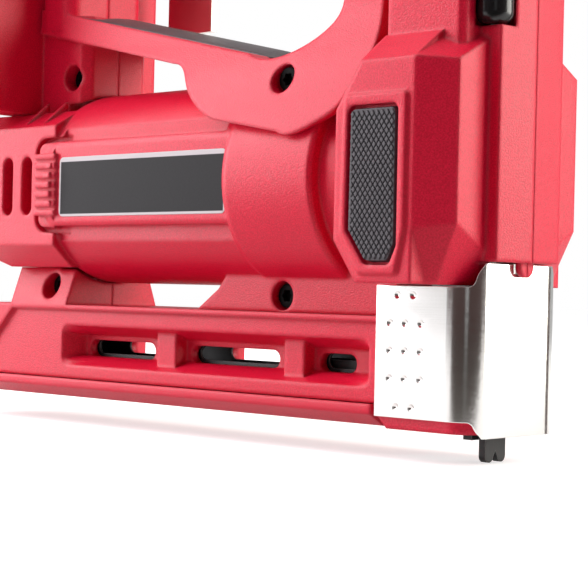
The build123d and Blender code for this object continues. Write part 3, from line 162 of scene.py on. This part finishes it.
# Fan, head cap, trigger, switch, terminals and latch: glass-filled nylon, moulded in black.
# The mould is spark-eroded, so the skin has a fine even grain, and the edges are painted greyer as a
# highlight.
def edge_highlight(start, edge_round):
    """How much painted highlight a spot gets, from 0 on the flats to 1 on the edges."""
    rounded = start.node("Bevel", {"samples": 6}, {"Radius": edge_round})
    face = start.node("NewGeometry", {}, {}, "Normal")
    along = start.node("VectorMath", {"operation": "DOT_PRODUCT"}, {0: rounded, 1: face}, "Value")
    return (1 - along).held(0.01, 0.2)


def black_nylon(start, spot):
    grain = cloud(start, spot, scale=2600.0, detail=2.0)
    patch = cloud(start, spot, scale=60.0, detail=4.0)
    skin = patch.between((0.012, 0.012, 0.013), (0.02, 0.02, 0.021))
    return {
        # The edges are lightened here as a painted highlight.
        "Base Color": (0.5 * edge_highlight(start, 0.0006)).between(skin, (0.06, 0.06, 0.062)),
        "Roughness": 0.42 + 0.16 * patch,
        "Normal": relief(start, grain, depth=0.00007, edge_round=0.0007),
    }


nylon = finish("black_nylon", {"Specular IOR Level": 0.45}, black_nylon)
coat(nylon, "fan", "head_cap", "trigger", "trigger_switch", "terminal_block", "drawer_latch")


# Gear train: ring, sun, three planets, the carrier with its bevel pinion, and the lifter's bevel gear.
# The teeth are cut in case-hardened steel, then ground, and run in grease inside the gear case.
# Pins, axles, rods, blade and nose guide are ground from the same steel.
def ground_steel(start, spot):
    lines = cloud(start, spot, scale=1500.0, detail=2.0, stretch=(1.0, 1.0, 0.08))
    oil = cloud(start, spot, scale=90.0, detail=4.0)
    return {
        "Base Color": oil.between((0.4, 0.4, 0.41), (0.56, 0.55, 0.53)),
        "Roughness": 0.22 + 0.18 * lines,
        "Normal": relief(start, lines, depth=0.00003, edge_round=0.0003),
    }


ground = finish("ground_steel", {"Metallic": 1.0}, ground_steel)
coat(ground, "ring_gear", "sun_pinion", "planet_1", "planet_2", "planet_3", "carrier_pinion", "lifter_gear")
coat(ground, "planet_pins", "lift_pins", "lifter_axle", "axle_sleeve", "wheel_pin", "latch_pin")
coat(ground, "guide_rods", "driver_blade", "nose_guide")


# Gear case, rod base and rod cap: aluminium die castings with a sandy skin.
# The case is pushed into the barrel before the halves are closed, and the rods stand in base and cap.
def casting(start, spot):
    sand = cloud(start, spot, scale=1100.0, detail=4.0)
    flow = cloud(start, spot, scale=70.0, detail=5.0)
    return {
        "Base Color": flow.between((0.46, 0.47, 0.48), (0.64, 0.64, 0.63)),
        "Roughness": 0.45 + 0.2 * sand,
        "Normal": relief(start, sand, depth=0.00012, edge_round=0.0008),
    }


coat(finish("die_casting", {"Metallic": 1.0}, casting), "gear_case", "rod_base", "rod_cap")


# Output bearing: a plain bush of sintered bronze, pressed from powder and soaked in oil.
# It is pushed into the gear case, round the shaft of the bevel pinion.
def sintered(start, spot):
    pores = cloud(start, spot, scale=2400.0, detail=3.0)
    stain = cloud(start, spot, scale=180.0, detail=4.0)
    return {
        "Base Color": stain.between((0.42, 0.27, 0.1), (0.62, 0.45, 0.2)),
        "Roughness": 0.34 + 0.22 * pores,
        "Normal": relief(start, pores, depth=0.00008, edge_round=0.0004),
    }


coat(finish("sintered_bronze", {"Metallic": 1.0}, sintered), "output_bearing")


# Drive, tip and trigger springs: hard-drawn wire wound on a mandrel.
# Each stands on the piece that it pushes, and closes up towards its fixed seat as that piece comes.
def spring_wire(start, spot):
    drawn = cloud(start, spot, scale=1400.0, detail=3.0)
    temper = cloud(start, spot, scale=110.0, detail=3.0)
    return {
        "Base Color": temper.between((0.3, 0.3, 0.31), (0.44, 0.43, 0.41)),
        "Roughness": 0.26 + 0.16 * drawn,
        "Normal": relief(start, drawn, depth=0.00002, edge_round=0.0002),
    }


def skinned(forms, closed):
    """Points and faces of forms, each a row of rings of points that is skinned from ring to ring.
    A form has a cap on each end or, where closed, goes back to its first ring."""
    points = []
    faces = []
    for rings in forms:
        first = len(points)
        count = len(rings[0])
        for ring in rings:
            points += ring
        for place in range(len(rings) if closed else len(rings) - 1):
            low = first + count * place
            high = first + count * ((place + 1) % len(rings))
            for k in range(count):
                beside = (k + 1) % count
                faces.append([low + k, low + beside, high + beside, high + k])
        if not closed:
            faces.append([first + k for k in range(count)])
            faces.append([len(points) - count + k for k in range(count)])
    return points, faces


def piece(name, forms, material, body, closed=False):
    """A mesh piece of one or more forms in millimetres, riding on a body."""
    points, faces = skinned(forms, closed)
    mesh = bpy.data.meshes.new(name)
    mesh.from_pydata([(x / 1000, y / 1000, z / 1000) for x, y, z in points], [], faces)
    shape = bmesh.new()
    shape.from_mesh(mesh)
    bmesh.ops.recalc_face_normals(shape, faces=shape.faces)
    shape.to_mesh(mesh)
    shape.free()
    mesh.materials.append(material)
    made = bpy.data.objects.new(name, mesh)
    bpy.context.scene.collection.objects.link(made)
    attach(made, body)
    return made


def wind(name, node, turns, wire, material):
    """A coil of round wire in the space of a spring's node."""
    turn_steps = 28
    wire_sides = 8
    low, high = ([1000 * along for along in corner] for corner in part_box(node))
    middle_x = (low[0] + high[0]) / 2
    middle_y = (low[1] + high[1]) / 2
    reach = (high[0] - low[0] - wire) / 2
    length = high[2] - low[2]
    steps = turn_steps * turns
    rings = []
    for step in range(steps + 1):
        angle = 2 * math.pi * step / turn_steps
        height = low[2] + wire / 2 + (length - wire) * step / steps
        ring = []
        for side in range(wire_sides):
            tilt = 2 * math.pi * side / wire_sides
            across = reach + wire / 2 * math.cos(tilt)
            x = middle_x + across * math.cos(angle)
            y = middle_y + across * math.sin(angle)
            ring.append((x, y, height + wire / 2 * math.sin(tilt)))
        rings.append(ring)
    coil = piece(name, [rings], material, "housing")
    coil.data.shade_smooth()
    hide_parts(node)
    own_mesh(coil)


wire_steel = finish("spring_wire", {"Metallic": 1.0}, spring_wire)
wind("drive_coil", "drive_spring", turns=21, wire=2.2, material=wire_steel)
wind("tip_coil", "tip_spring", turns=12, wire=0.4, material=wire_steel)
wind("trigger_coil", "trigger_spring", turns=5, wire=0.7, material=wire_steel)


# Pusher's spring: a thin strip of blued spring steel, rolled tight on itself.
# The roll lies behind the pusher and drives it towards the nose.
def rolled_strip(start, spot):
    temper = cloud(start, spot, scale=120.0, detail=3.0)
    return {
        "Base Color": temper.between((0.16, 0.18, 0.26), (0.4, 0.38, 0.34)),
        "Roughness": 0.25 + 0.15 * temper,
        "Normal": relief(start, temper, depth=0.00003, edge_round=0.0002),
    }


coat(finish("rolled_strip", {"Metallic": 1.0}, rolled_strip), "pusher_spring")


# Bumper: a block of soft nitrile rubber, moulded with holes for the guide rods.
# It is threaded on the rods and stops the carriage at the end of its stroke.
def nitrile(start, spot):
    dust = cloud(start, spot, scale=700.0, detail=4.0)
    return {
        "Base Color": dust.between((0.016, 0.016, 0.017), (0.04, 0.039, 0.037)),
        "Roughness": 0.7 + 0.2 * dust,
        "Normal": relief(start, dust, depth=0.0001, edge_round=0.0008),
    }


coat(finish("nitrile", {}, nitrile), "bumper")


# Contact tip, nose foot, staple channel, carriage and pusher: hardened steel, blackened in a salt bath.
# They slide in guides, and their edges are painted paler as a highlight.
def blackened(start, spot):
    bath = cloud(start, spot, scale=210.0, detail=5.0)
    fine = cloud(start, spot, scale=1800.0, detail=2.0)
    skin = bath.between((0.014, 0.014, 0.015), (0.035, 0.034, 0.034))
    return {
        # The edges are lightened here as a painted highlight.
        "Base Color": (0.55 * edge_highlight(start, 0.0004)).between(skin, (0.3, 0.29, 0.28)),
        "Roughness": 0.36 + 0.2 * bath,
        "Normal": relief(start, fine, depth=0.00004, edge_round=0.0005),
    }


black_steel = finish("blackened_steel", {"Metallic": 0.6}, blackened)
coat(black_steel, "contact_tip", "nose_foot", "staple_rail", "carriage", "pusher")


# Nose plate: one sheet of stainless steel, dimpled, folded round the nose and held by the shell's edges.
# The sheet comes with a fine brushed finish that runs from the front to the rear.
def stainless(start, spot):
    brushed = cloud(start, spot, scale=2600.0, detail=3.0, stretch=(0.02, 0.02, 1.0))
    worn = cloud(start, spot, scale=55.0, detail=4.0)
    return {
        "Base Color": worn.between((0.7, 0.69, 0.67), (0.8, 0.79, 0.78)),
        "Roughness": 0.1 + 0.06 * brushed + 0.05 * worn,
        "Normal": relief(start, brushed, depth=0.000004, edge_round=0.0003),
    }


coat(finish("brushed_stainless", {"Metallic": 1.0}, stainless), "nose_plate")


# Shells of the tool: body, handle and magazine in halves, and the drawer, moulded in red nylon.
# The skin is spark grain all over; edges are painted a little paler as a highlight.
# The halves are screwed together from the right side.
def red_nylon(start, spot):
    grain = cloud(start, spot, scale=2300.0, detail=2.0)
    patch = cloud(start, spot, scale=34.0, detail=4.0)
    scuff = cloud(start, spot, scale=420.0, detail=3.0, stretch=(0.25, 1.0, 1.0))
    dark_skin = patch.between((0.47, 0.001, 0.02), (0.53, 0.002, 0.025))
    skin = patch.between((0.64, 0.004, 0.034), (0.71, 0.006, 0.042))
    speckled = grain.held(0.36, 0.66).between(dark_skin, skin)
    return {
        # The edges are lightened here as a painted highlight.
        "Base Color": (0.3 * edge_highlight(start, 0.0018)).between(speckled, (0.76, 0.05, 0.08)),
        "Roughness": 0.24 + 0.08 * patch + 0.1 * scuff + 0.1 * grain,
        "Normal": relief(start, grain, depth=0.00012, edge_round=0.0018),
    }


red = finish("red_nylon", {"Specular IOR Level": 0.3}, red_nylon)
coat(red, "magazine_right", "magazine_left", "drawer_rail", "body_right", "body_left")
coat(red, "handle_right", "handle_left")


# Side pads: black rubber, moulded with a field of small flat-topped diamonds for grip.
# Each pad is glued into a pocket of the head, a hair below the raised frame round it.
def pad_rubber(start, spot):
    dust = cloud(start, spot, scale=900.0, detail=4.0)
    patch = cloud(start, spot, scale=120.0, detail=3.0)
    return {
        "Base Color": patch.between((0.042, 0.036, 0.043), (0.068, 0.06, 0.069)),
        "Roughness": 0.5 + 0.2 * dust,
        "Normal": relief(start, dust, depth=0.00005, edge_round=0.0004),
    }


pad_outline = ((101.6, 45.4), (109.2, 45.4), (111.2, 50.1), (111.0, 86.2), (95.3, 86.2), (95.1, 54.1))
pad_face_y = 34.75
knurl_start = (94.5, 44.5)
knurl_rows = 40
knurl_columns = 12
diamond_half = (0.86, 1.18)
diamond_clear = (0.8, 1.1)
diamond_root = 0.1
diamond_height = 0.42
root_share = 0.96
top_share = 0.7


def on_pad(x, z):
    """Whether a spot lies inside the pad's outline, which has its corners in turning order."""
    corners = zip(pad_outline, pad_outline[1:] + pad_outline[:1])
    return all((bx - ax) * (z - az) - (bz - az) * (x - ax) > 0 for (ax, az), (bx, bz) in corners)


rubber = finish("pad_rubber", {"Specular IOR Level": 0.4}, pad_rubber)
coat(rubber, "side_pad_right", "side_pad_left")
diamond_corners = ((1, 0), (0, 1), (-1, 0), (0, -1))
for side, name in ((-1, "knurl_right"), (1, "knurl_left")):
    diamonds = []
    for row in range(knurl_rows):
        for column in range(knurl_columns):
            x = knurl_start[0] + 2 * diamond_half[0] * (column + 0.5 * (row % 2))
            z = knurl_start[1] + diamond_half[1] * row
            tips = [(x + i * diamond_clear[0], z + j * diamond_clear[1]) for i, j in diamond_corners]
            if not all(on_pad(*tip) for tip in tips):
                continue
            diamond = []
            for share, rise in ((root_share, -diamond_root), (top_share, diamond_height)):
                half_x = share * diamond_half[0]
                half_z = share * diamond_half[1]
                y = side * (pad_face_y + rise)
                diamond.append([(x + i * half_x, y, z + j * half_z) for i, j in diamond_corners])
            diamonds.append(diamond)
    piece(name, diamonds, rubber, "housing")


# Adjusting wheel: a plain wheel of glossy black nylon with well rounded ends.
# It turns on a steel pin in a window at the front right corner of the head.
def gloss_nylon(start, spot):
    patch = cloud(start, spot, scale=150.0, detail=3.0)
    grain = cloud(start, spot, scale=2600.0, detail=2.0)
    return {
        "Base Color": patch.between((0.004, 0.004, 0.0045), (0.009, 0.009, 0.01)),
        "Roughness": 0.18 + 0.1 * patch,
        "Normal": relief(start, grain, depth=0.000014, edge_round=0.0004),
    }


forward = Vector((1, 0, 0))
leftward = Vector((0, 1, 0))
upward = Vector((0, 0, 1))


def turned(foot, across, upright, along, profile):
    """The rings of a form turned round an axis that starts at its foot.
    The profile gives each ring's reach, its height and the depth of its six lobes."""
    sides = 36
    lobes = 6
    rings = []
    for reach, height, lobe in profile:
        ring = []
        for k in range(sides):
            angle = 2 * math.pi * k / sides
            outward = math.cos(angle) * across + math.sin(angle) * upright
            swell = 1 + lobe * math.cos(lobes * angle)
            ring.append(tuple(foot + reach * swell * outward + height * along))
        rings.append(ring)
    return rings


def smooth(made, crease):
    """Smooth faces, with the edges that turn by more than the crease left sharp."""
    made.data.shade_smooth()
    made.data.set_sharp_from_angle(angle=math.radians(crease))


wheel_bore = 1.55
wheel_round = 3.3
round_steps = 7
wheel_low, wheel_high = (1000 * Vector(corner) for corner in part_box("depth_wheel"))
wheel_reach = (wheel_high.x - wheel_low.x) / 2
wheel_height = wheel_high.z - wheel_low.z
wheel_profile = [(wheel_bore, 0.0, 0.0)]
for step in range(round_steps + 1):
    bend = math.radians(90 * step / round_steps)
    reach = wheel_reach - wheel_round * (1 - math.sin(bend))
    wheel_profile.append((reach, wheel_round * (1 - math.cos(bend)), 0.0))
wheel_profile += [(reach, wheel_height - height, lobe) for reach, height, lobe in reversed(wheel_profile)]
wheel_foot = Vector((wheel_low.x + wheel_reach, wheel_low.y + wheel_reach, wheel_low.z))
wheel_rings = turned(wheel_foot, forward, leftward, upward, wheel_profile)
wheel_gloss = finish("gloss_nylon", {}, gloss_nylon)
wheel = piece("rounded_wheel", [wheel_rings], wheel_gloss, "wheel", closed=True)
smooth(wheel, crease=40)
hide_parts("depth_wheel")


# Control board: green glass-fibre laminate, whose fine weave shows under the lacquer.
# It stands in the grip under the switch and feeds the motor.
def laminate(start, spot):
    weave = start.node("TexBrick", {}, {"Vector": spot, "Scale": 900.0, "Mortar Size": 0.08}, 1)
    patch = cloud(start, spot, scale=300.0, detail=3.0)
    return {
        "Base Color": patch.between((0.01, 0.09, 0.03), (0.03, 0.2, 0.07)),
        "Roughness": 0.3 + 0.2 * patch,
        "Normal": relief(start, weave, depth=0.00003, edge_round=0.0003),
    }


coat(finish("green_laminate", {}, laminate), "control_board")


# Belt hook: a strip of spring steel, bent twice and polished to a satin face.
# One screw holds it to the left side of the grip.
def polished_strip(start, spot):
    rolled = cloud(start, spot, scale=1500.0, detail=2.0, stretch=(1.0, 0.05, 0.05))
    smear = cloud(start, spot, scale=80.0, detail=4.0)
    return {
        "Base Color": smear.between((0.7, 0.66, 0.6), (0.82, 0.79, 0.74)),
        "Roughness": 0.42 + 0.06 * smear,
        "Normal": relief(start, rolled, depth=0.00002, edge_round=0.0004),
    }


coat(finish("polished_strip", {"Metallic": 1.0}, polished_strip), "belt_hook")


# Housing screws and the hook's screw: blackened steel, headed cold, with six-lobed sockets.
# The housing screws lie deep in round wells of the right halves, the hook's screw in the open.
def oiled(start, spot):
    bath = cloud(start, spot, scale=500.0, detail=4.0)
    return {
        "Base Color": bath.between((0.0012, 0.0012, 0.0012), (0.003, 0.003, 0.003)),
        "Roughness": 0.5 + 0.2 * bath,
        "Normal": relief(start, bath, depth=0.00003, edge_round=0.0003),
    }


def screw(foot, side, shank_r, length, head_r, head_height, corner):
    """The rings of a screw whose head sits on its foot and looks to the right (-1) or left (1)."""
    point_r = shank_r - 0.5
    point_length = 0.8
    socket_r = 0.48 * head_r
    mouth_r = 1.06 * socket_r
    floor_r = 0.94 * socket_r
    socket_depth = 0.6 * head_height
    socket_lead = 0.15
    lobe = 0.14
    profile = (
        (point_r, -length, 0.0),
        (shank_r, point_length - length, 0.0),
        (shank_r, 0.0, 0.0),
        (head_r, 0.0, 0.0),
        (head_r, head_height - corner, 0.0),
        (head_r - 0.3 * corner, head_height - 0.3 * corner, 0.0),
        (head_r - corner, head_height, 0.0),
        (mouth_r, head_height, lobe),
        (socket_r, head_height - socket_lead, lobe),
        (floor_r, head_height - socket_depth, lobe),
    )
    return turned(Vector(foot), forward, upward, side * leftward, profile)


well_forms = []
for x, z, seat_y, length in (
    (101.5, 122.0, -15.0, 27.0),
    (101.5, 178.0, -15.0, 27.0),
    (52.0, 35.5, -9.0, 18.0),
    (-47.0, 106.5, -7.0, 18.0),
    (84.0, 138.0, -7.0, 18.0),
    (-55.0, 146.0, -7.0, 18.0),
    (62.0, 97.5, -21.3, 11.3),
    (-51.0, 36.8, -11.0, 2.2),
):
    seat = (x, seat_y, z)
    well_forms.append(screw(seat, -1, shank_r=1.9, length=length, head_r=3.6, head_height=3.0, corner=0.4))
screw_black = finish("oiled_screw", {"Specular IOR Level": 0.06}, oiled)
well_screws = piece("well_screws", well_forms, screw_black, "housing")
smooth(well_screws, crease=35)
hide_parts("housing_screws")

hook_seat = (-42.0, 19.85, 177.0)
hook_form = screw(hook_seat, 1, shank_r=2.5, length=6.55, head_r=4.6, head_height=3.0, corner=1.0)
hook_fixing = piece("hook_fixing", [hook_form], screw_black, "housing")
smooth(hook_fixing, crease=35)
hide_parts("hook_screw")


# Side label: a bare plate of dark grey film, stuck on the flat of the barrel.
# It has a pale rim all round, painted as a highlight, which is widest along the top.
label_x = (-34.2, 42.4)
label_z = (59.2, 78.3)
label_y = -29.0
label_corner = 1.8
label_highlight_rim = 0.8
label_top_highlight = 1.5
corner_steps = 6


def label_film(start, spot):
    fibre = cloud(start, spot, scale=1500.0, detail=3.0)
    middle_x = sum(label_x) / 2
    middle_z = (sum(label_z) + label_highlight_rim - label_top_highlight) / 2
    half_x = (label_x[1] - label_x[0]) / 2 - label_highlight_rim
    half_z = (label_z[1] - label_z[0] - label_highlight_rim - label_top_highlight) / 2
    middle = (middle_x / 1000, 0.0, middle_z / 1000)
    apart = start.node("VectorMath", {"operation": "SUBTRACT"}, {0: spot, 1: middle})
    off_x = start.reckon("ABSOLUTE", start.node("SeparateXYZ", {}, {0: apart}, "X")) - half_x / 1000
    off_z = start.reckon("ABSOLUTE", start.node("SeparateXYZ", {}, {0: apart}, "Z")) - half_z / 1000
    rim = start.reckon("MAXIMUM", off_x, off_z).held(-0.0001, 0.0001)
    skin = fibre.between((0.01, 0.0096, 0.0106), (0.02, 0.0194, 0.0208))
    return {
        # The pale rim is a painted highlight, widest along the top.
        "Base Color": (0.85 * rim).between(skin, (0.62, 0.57, 0.59)),
        "Roughness": 0.42 + 0.14 * fibre,
        "Normal": relief(start, fibre, depth=0.00002, edge_round=0.0002),
    }


label_rings = []
for inset, rise in ((0.0, -0.15), (0.0, 0.12), (0.12, 0.2)):
    reach = label_corner - inset
    ring = []
    for corner_x, corner_z, quarter in ((1, 1, 0), (0, 1, 1), (0, 0, 2), (1, 0, 3)):
        middle_x = label_x[corner_x] + (label_corner if corner_x == 0 else -label_corner)
        middle_z = label_z[corner_z] + (label_corner if corner_z == 0 else -label_corner)
        for step in range(corner_steps + 1):
            angle = (quarter + step / corner_steps) * math.pi / 2
            x = middle_x + reach * math.cos(angle)
            z = middle_z + reach * math.sin(angle)
            ring.append((x, label_y - rise, z))
    label_rings.append(ring)
film = finish("label_film", {"Specular IOR Level": 0.1}, label_film)
piece("side_label", [label_rings], film, "housing")


# Bridge label: a bare strip of dark film, stuck along the sloping top of the bridge.
# A low crowned pad under it lifts its middle, and its edges lie down on the shell.
bridge_x = (-42.0, 47.0)
bridge_half = 14.6
bridge_crown = 2.5
crown_ease = 9.0
slope_start = (-62.0, 130.7)
slope = 24.1 / 106
film_root = 0.2
film_thickness = 0.06
strip_rows = 36
strip_half_columns = 7


def strip_film(start, spot):
    fibre = cloud(start, spot, scale=1500.0, detail=3.0)
    patch = cloud(start, spot, scale=90.0, detail=3.0)
    return {
        "Base Color": patch.between((0.04, 0.038, 0.042), (0.075, 0.072, 0.078)),
        "Roughness": 0.36 + 0.2 * fibre,
        "Normal": relief(start, fibre, depth=0.00002, edge_round=0.0003),
    }


strip_rings = []
for row in range(strip_rows + 1):
    x = bridge_x[0] + (bridge_x[1] - bridge_x[0]) * row / strip_rows
    ease = min(1.0, (x - bridge_x[0]) / crown_ease, (bridge_x[1] - x) / crown_ease)
    ease = ease * ease * (3 - 2 * ease)
    top_z = slope_start[1] - slope * (x - slope_start[0])
    ring = [(x, -bridge_half, top_z - film_root)]
    for column in range(-strip_half_columns, strip_half_columns + 1):
        part = column / strip_half_columns
        ring.append((x, bridge_half * part, top_z + film_thickness + bridge_crown * ease * (1 - part * part)))
    ring.append((x, bridge_half, top_z - film_root))
    strip_rings.append(ring)
strip_grey = finish("strip_film", {}, strip_film)
strip = piece("bridge_label", [strip_rings], strip_grey, "housing")
strip.data.shade_smooth()


# Battery: case and cover of the black nylon, welded round ten cells in blue shrink wrap.
# Its sides have moulded ridges for the fingers, and the red release button has smaller ones.
def shrink_wrap(start, spot):
    fold = cloud(start, spot, scale=240.0, detail=3.0)
    return {
        "Base Color": fold.between((0.03, 0.16, 0.34), (0.05, 0.24, 0.46)),
        "Roughness": 0.2 + 0.15 * fold,
        "Normal": relief(start, fold, depth=0.00006, edge_round=0.0006),
    }


def ridge(place, long_way, out_way, half_long, half_wide, height):
    """The rings of a moulded ridge: a low bar with sloping sides, rooted a little way in the wall."""
    root = 0.3
    slant = 0.45
    rings = []
    for rise, shrink in ((-root, 0.0), (height, slant)):
        ring = []
        for along, above in ((-1, -1), (1, -1), (1, 1), (-1, 1)):
            spot = Vector(place) + along * (half_long - shrink) * long_way + rise * out_way
            ring.append(tuple(spot + above * (half_wide - shrink) * upward))
        rings.append(ring)
    return rings


case_half = 37.5
ridge_x = -109.5
ridge_z = [126.0 + 4.6 * k for k in range(11)]
coat(nylon, "battery_case", "battery_cover")
coat(finish("shrink_wrap", {}, shrink_wrap), "battery_cells")
for side, name in ((-1, "battery_ridges_right"), (1, "battery_ridges_left")):
    bars = []
    for z in ridge_z:
        place = (ridge_x, side * case_half, z)
        bars.append(ridge(place, forward, side * leftward, half_long=13.0, half_wide=1.2, height=0.45))
    piece(name, bars, nylon, "battery")

button_face_x = -131.2
button_ridge_z = [182.4 + 3.3 * k for k in range(5)]
coat(red, "battery_button")
bars = []
for z in button_ridge_z:
    place = (button_face_x, 0.0, z)
    bars.append(ridge(place, leftward, -forward, half_long=11.0, half_wide=1.0, height=0.4))
piece("button_ridges", bars, red, "button")


# Floor: white studio paper that takes a soft shadow and looks white to the lens.
# In front of the tool it is dark to bright metal only, a painted dark reflection as a black cloth would give;
# elsewhere it glows a little in reflections.
lens_turn = math.radians(43)
sight = Vector((-math.sin(lens_turn), math.cos(lens_turn), 0.0))
rightward = Vector((math.cos(lens_turn), math.sin(lens_turn), 0.0))
target = Vector((0.04, 0.0, 0.07))
floor_half = 4
floor_z = -0.0088
front_spread = 0.6
front_fade = (0.08, 0.16)
far_fade = (0.2, 0.7)
near_glow = 0.6
far_glow = 0.36
mirror_glow = 0.4
black = (0.0, 0.0, 0.0)
white = (1.0, 1.0, 1.0)


def prop(name, points, faces, material):
    """A thing of the studio in metres, which isn't part of the tool."""
    mesh = bpy.data.meshes.new(name)
    mesh.from_pydata(points, [], faces)
    mesh.materials.append(material)
    made = bpy.data.objects.new(name, mesh)
    bpy.context.scene.collection.objects.link(made)
    return made


floor_paint = bpy.data.materials.new("floor_paint")
floor_paint.use_nodes = True
floor_paint.node_tree.nodes.clear()
paint = Tone(floor_paint.node_tree)
seen = paint.node("LightPath", {}, {}, "Is Camera Ray")
mirrored = paint.node("LightPath", {}, {}, "Is Glossy Ray")
spot = paint.node("TexCoord", {}, {}, "Object")
apart = paint.node("VectorMath", {"operation": "SUBTRACT"}, {0: spot, 1: target})
ahead = paint.node("VectorMath", {"operation": "DOT_PRODUCT"}, {0: apart, 1: -sight}, "Value")
aside = paint.node("VectorMath", {"operation": "DOT_PRODUCT"}, {0: apart, 1: rightward}, "Value")
front = (ahead - front_spread * paint.reckon("ABSOLUTE", aside)).held(*front_fade)
far = paint.node("VectorMath", {"operation": "LENGTH"}, {0: apart}, "Value").held(*far_fade)
# In front of the tool the floor is dark only in reflections, a painted dark reflection.
shade = (front * mirrored).between((0.62, 0.62, 0.62), (0.06, 0.055, 0.05))
matte = paint.node("BsdfDiffuse", {}, {"Color": shade})
# Elsewhere the floor glows a little in reflections, a painted reflection.
lit = seen * (near_glow + far_glow * far) + mirror_glow * ((1 - front) * mirrored)
glow_colour = lit.between(black, white)
glow = paint.node("Emission", {}, {"Color": glow_colour, "Strength": 1.0})
paint.node("OutputMaterial", {}, {"Surface": paint.node("AddShader", {}, {0: matte, 1: glow})})
floor_corners = [(i * floor_half, j * floor_half, floor_z) for i, j in ((-1, -1), (1, -1), (1, 1), (-1, 1))]
prop("floor", floor_corners, [(0, 1, 2, 3)], floor_paint)


# Dark cards: faintly glowing warm brown sheets that only mirrors show, painted reflections for the dark bands
# in the nose plate.
# Two stand far off to the left and right of the lens. A third stands near the plate's far edge,
# and lies on the floor from that edge to its own foot.
def reflection_card(start, spot):
    return {"Base Color": cloud(start, spot, scale=40.0).between((0.01, 0.01, 0.01), (0.02, 0.02, 0.02))}


def bearing(turn):
    """The way from the target to a thing that stands so many degrees to the right of the lens."""
    angle = math.radians(turn)
    return math.sin(angle) * rightward - math.cos(angle) * sight


card_steps = 8
card_drop = 0.077
card_rise = 0.65
plate_edge = (0.1325, 0.028, floor_z + 0.001)
card_points = []
card_faces = []
for first_turn, last_turn, away in ((-72, -6, 1.2), (5, 66, 1.2), (93, 109, 0.352)):
    first = len(card_points)
    for step in range(card_steps + 1):
        stand = target + away * bearing(first_turn + (last_turn - first_turn) * step / card_steps)
        card_points.append(tuple(stand - card_drop * upward))
        card_points.append(tuple(stand + card_rise * away * upward))
    for low in range(first, first + 2 * card_steps, 2):
        card_faces.append((low, low + 1, low + 3, low + 2))
card_points.append(plate_edge)
for low in range(first, first + 2 * card_steps, 2):
    card_faces.append((len(card_points) - 1, low, low + 2))
card_glow_values = {
    "Roughness": 0.9,
    "Specular IOR Level": 0.0,
    # The cards glow faintly warm brown, a painted reflection that only mirrors show.
    "Emission Color": (0.07, 0.036, 0.034, 1.0),
    "Emission Strength": 1.0,
}
card = prop("dark_card", card_points, card_faces, finish("reflection_card", card_glow_values, reflection_card))
card.visible_camera = False
card.visible_diffuse = False
card.visible_shadow = False


# Soft boxes: two big ones to the left and right of the tool, a wide one overhead,
# and a weak one in front on the left, which fills the shadows.
box_height = 1.0
for name, turn, reach, lift, power, wide, tint in (
    ("left_box", -101, 0.85, 0.3, 14.4, 0.7, (1.0, 0.97, 1.0)),
    ("right_box", 87, 0.85, 0.3, 15.0, 0.64, (1.0, 0.97, 0.9)),
    ("top_box", -120, 0.3, 0.95, 7.5, 1.0, white),
    ("front_box", -55, 0.6, 0.7, 2.6, 0.6, white),
):
    lamp = bpy.data.lights.new(name, "AREA")
    lamp.shape = "RECTANGLE"
    lamp.size = wide
    lamp.size_y = box_height
    lamp.energy = power
    lamp.color = tint
    box = bpy.data.objects.new(name, lamp)
    bpy.context.scene.collection.objects.link(box)
    box.location = target + reach * bearing(turn) + lift * upward
    box.rotation_euler = (target - box.location).to_track_quat("-Z", "Y").to_euler()


# Surround: plain white to the lens, half as bright in mirrors, and almost dark as a light,
# so that the soft boxes shape the tool.
dim = 0.06
mirror_share = 0.5
surround = bpy.data.worlds.new("surround")
bpy.context.scene.world = surround
surround.use_nodes = True
surround.node_tree.nodes.clear()
sky = Tone(surround.node_tree)
seen = sky.node("LightPath", {}, {}, "Is Camera Ray") + sky.node("LightPath", {}, {}, "Is Transmission Ray")
seen = seen + mirror_share * sky.node("LightPath", {}, {}, "Is Glossy Ray")
shine_colour = (dim + (1 - dim) * seen.held(0.0, 1.0)).between(black, white)
shine = sky.node("Background", {}, {"Color": shine_colour, "Strength": 1.0})
sky.node("OutputWorld", {}, {"Surface": shine})


# Camera: at the photograph's place, a little below the barrel and level, with a slight roll.
# The lens and the small shift give the photograph's frame of 588 by 588 pixels.
roll = 0.0235
lens_place = Vector((0.39113, -0.37272, 0.03756))
lens_x = rightward * math.cos(roll) + upward * math.sin(roll)
lens_y = upward * math.cos(roll) - rightward * math.sin(roll)
camera = bpy.data.objects.new("camera", bpy.data.cameras.new("camera"))
bpy.context.scene.collection.objects.link(camera)
tripod = Matrix((lens_x, lens_y, -sight)).transposed().to_4x4()
tripod.translation = lens_place
camera.matrix_world = tripod
camera.data.lens = 102.43
camera.data.sensor_width = 36
camera.data.shift_y = -5 / 588
bpy.context.scene.camera = camera
bpy.context.scene.view_settings.view_transform = "Standard"
